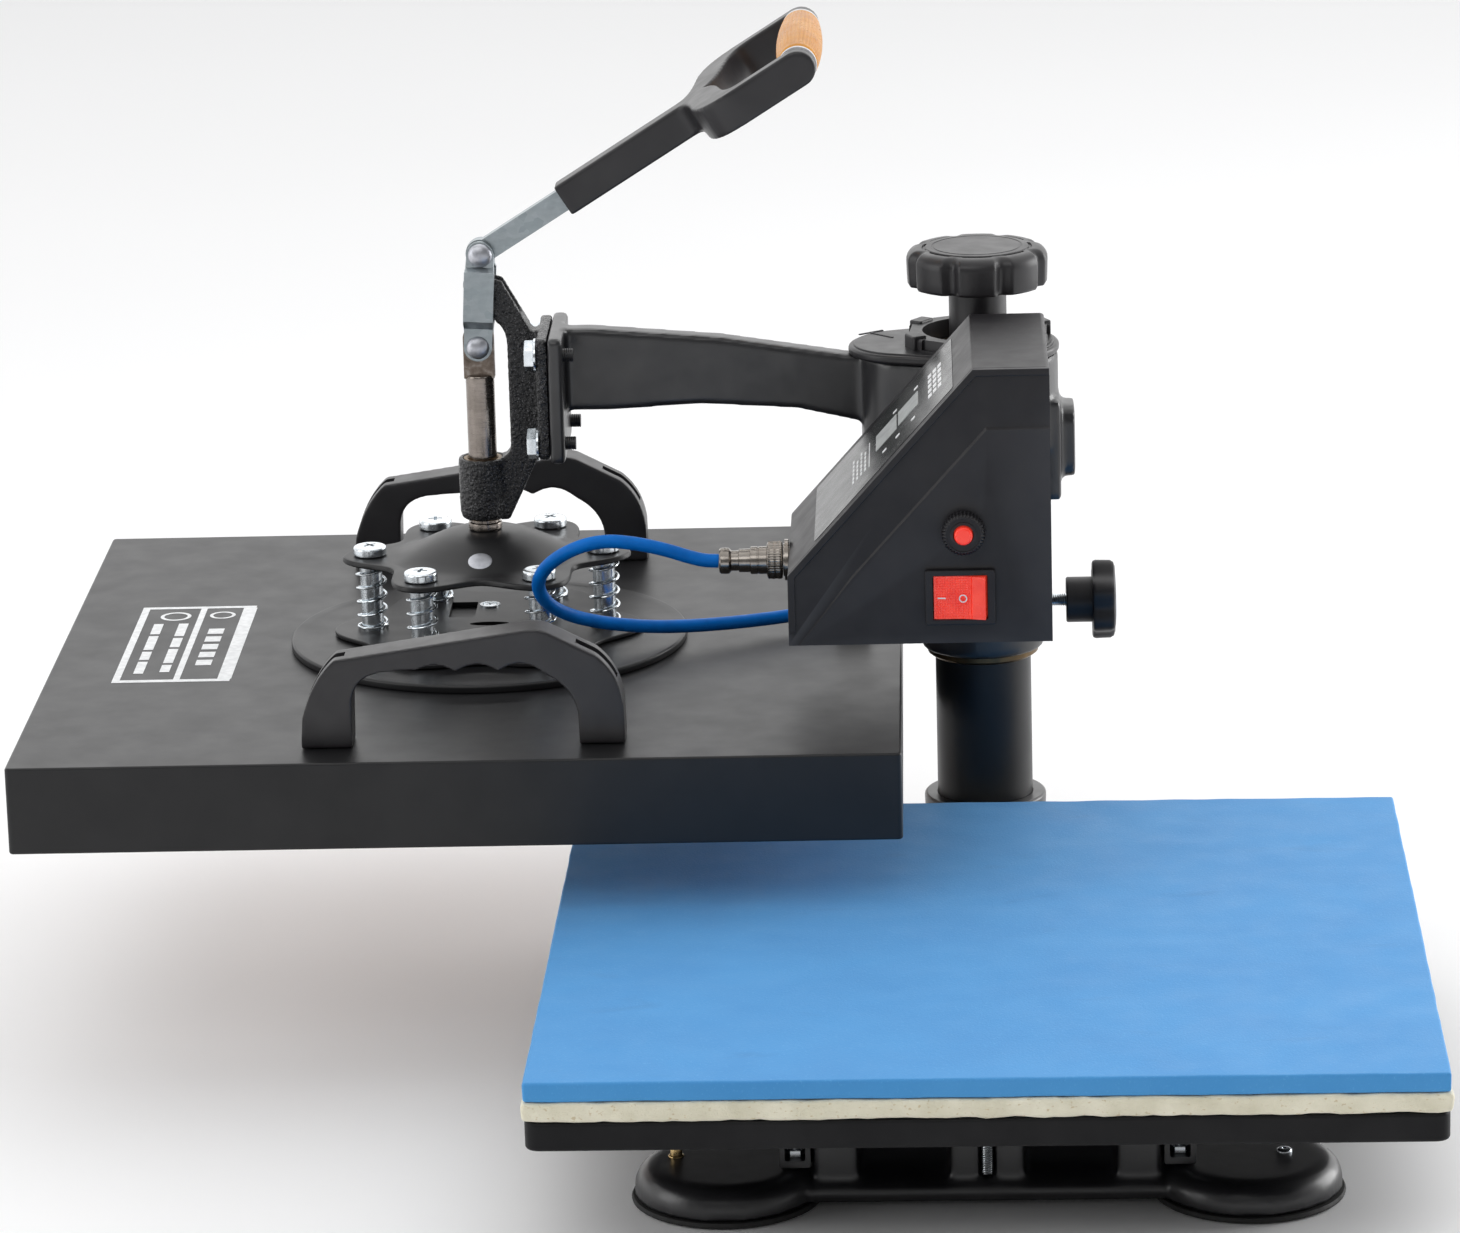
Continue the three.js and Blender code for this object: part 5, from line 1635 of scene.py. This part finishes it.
def make_heater():
    low, high = extent("heater_plate", HEAD)
    slab = extrude(rectangle(low.x, low.y, high.x, high.y, 4), low.z, high.z, 1, 3)
    piece("heater_slab", slab, ALUMINIUM, "platen", HEAD, replaces=["heater_plate"])
    mat = soft_block(*extent("insulation_mat", HEAD), 4, 8)
    blanket = piece(
        "insulation_blanket", mat, WOOL, "platen", HEAD,
        replaces=["insulation_mat"], lumps=(1.2, 20),
    )


def make_label(top):
    """A printed label with plain marks in place of words."""
    low, high = top + 0.02, top + 0.1

    def strip(x_low, y_low, x_high, y_high):
        return extrude(rectangle(x_low, y_low, x_high, y_high), low, high)

    def ring(x, y, inner, outer):
        return at(hoop([(inner, low), (outer, low), (outer, high), (inner, high)], 48), x, y, 0)

    shapes = [
        strip(-405, -64.5, -401.5, 66), strip(-401.5, 62.5, -350, 66), strip(-401.5, -64.5, -350, -60.5),
        strip(-376.6, -60.5, -373.6, 62.5), strip(-356, -60.5, -349.5, 62.5),
    ]
    shapes += [ring(-365, 50, 4.6, 6.2), ring(-387.5, 49, 5.6, 7.4)]
    for index in range(5):
        y = 26 - 13.5 * index
        shapes.append(strip(-369, y - 9, -361.5, y))
    for x, lengths in ((-384.5, (22, 16, 24, 12)), (-396.5, (18, 24, 14, 20))):
        y = 36
        for length in lengths:
            shapes.append(strip(x, y - length, x + 4.6, y))
            y -= length + 3.2
    piece("cover_label", together(*shapes), INK, "platen", HEAD, sharp=20)


def handle_outline():
    points = [(72.5, 0), (72, 19)]
    points += bezier([(72, 19), (70, 33), (60, 41)])
    points += bezier([(40, 51.5), (34, 54), (28, 53)])
    points += bezier([(-54, 42.5), (-66, 34), (-71.5, 14)]) + [(-72.5, 0), (-49.5, 0)]
    points += bezier([(-49.2, 20), (-48.5, 34), (-33, 35)])
    for x in (-21, -2, 17):
        points += bezier([(x, 34.5), (x + 9.5, 41), (x + 18.5, 34.5)], 8)
    points += bezier([(36, 33.5), (50, 27), (51.5, 14)]) + [(52, 0)]
    return points


def make_handles():
    outline = handle_outline()
    slots = []
    for start, end in (((52, 46.5), (70, 30)), ((-53.5, 42.5), (-69.5, 22))):
        direction = Vector(end) - Vector(start)
        angle = math.degrees(math.atan2(direction.y, direction.x))
        groove = block((0, -3.2, -2.2), (direction.length, 3.2, 6))
        slots.append(moved(groove, shift(start[0], 0, start[1]) @ rotation(-angle, "Y")))
    for node in ("handle_front", "handle_rear"):
        low, high = extent(node, HEAD)
        thickness = (high.y - low.y) / 2
        body = cast(upright(outline, -thickness, thickness), 0.8, 6)
        body = carved(body, slots)
        place = middle(low, high)
        body = at(body, place.x, place.y, low.z)
        piece(f"{node}_grip", body, GRIP, "platen", HEAD, replaces=[node], sharp=45)


make_ram()
make_spider()
make_spring_plate()
make_pressed_disc()
make_float_bolts()
COVER_TOP = make_cover()
make_heater()
make_label(COVER_TOP)
make_handles()

# ---- Floor and light ----


def make_floor():
    look = Look("floor", Roughness=0.75)
    look.colour(look.ramp(look.noise(900, 2.0), [(0.3, (0.92, 0.92, 0.925)), (0.7, (0.94, 0.94, 0.945))]))
    size = 9000
    plane = mesh_object("floor", extrude(rectangle(-size, -size, size, size), -20, -0.4), look.material)


def make_world():
    """A pale studio that is brighter behind and above the press than in front of it."""
    world = bpy.data.worlds.new("studio")
    world.use_nodes = True
    tree = world.node_tree
    background = tree.nodes["Background"]
    background.inputs["Color"].default_value = (1, 1, 1, 1)
    split = tree.nodes.new("ShaderNodeSeparateXYZ")
    level = tree.nodes.new("ShaderNodeMapRange")
    for name, number in (("From Min", -0.6), ("From Max", 0.85), ("To Min", 0.22), ("To Max", 1.4)):
        level.inputs[name].default_value = number
    place = tree.nodes.new("ShaderNodeTexCoord")
    tree.links.new(place.outputs["Generated"], split.inputs["Vector"])
    tree.links.new(split.outputs["Y"], level.inputs["Value"])
    tree.links.new(level.outputs["Result"], background.inputs["Strength"])
    bpy.context.scene.world = world


def make_softbox(name, place, target, size, power):
    data = bpy.data.lights.new(name, "AREA")
    data.shape = "RECTANGLE"
    data.size, data.size_y = size
    data.energy = power
    made = new_object(name, data)
    made.location = place
    made.rotation_mode = "QUATERNION"
    made.rotation_quaternion = (Vector(target) - Vector(place)).to_track_quat("-Z", "Y")


make_floor()
make_world()
make_softbox("overhead", (0.2, 0.2, 2.6), (-0.1, -0.1, 0.1), (4.2, 3.8), 22)
make_softbox("front", (-0.9, -2.3, 2.3), (-0.1, -0.2, 0.1), (2.2, 1.2), 16)
make_softbox("left", (-2.3, -0.9, 1.0), (-0.1, -0.1, 0.2), (1.4, 1.8), 15)
make_softbox("right", (2.2, 0.9, 0.7), (-0.1, -0.1, 0.25), (1.6, 1.4), 34)
bpy.context.scene.view_settings.view_transform = "Standard"
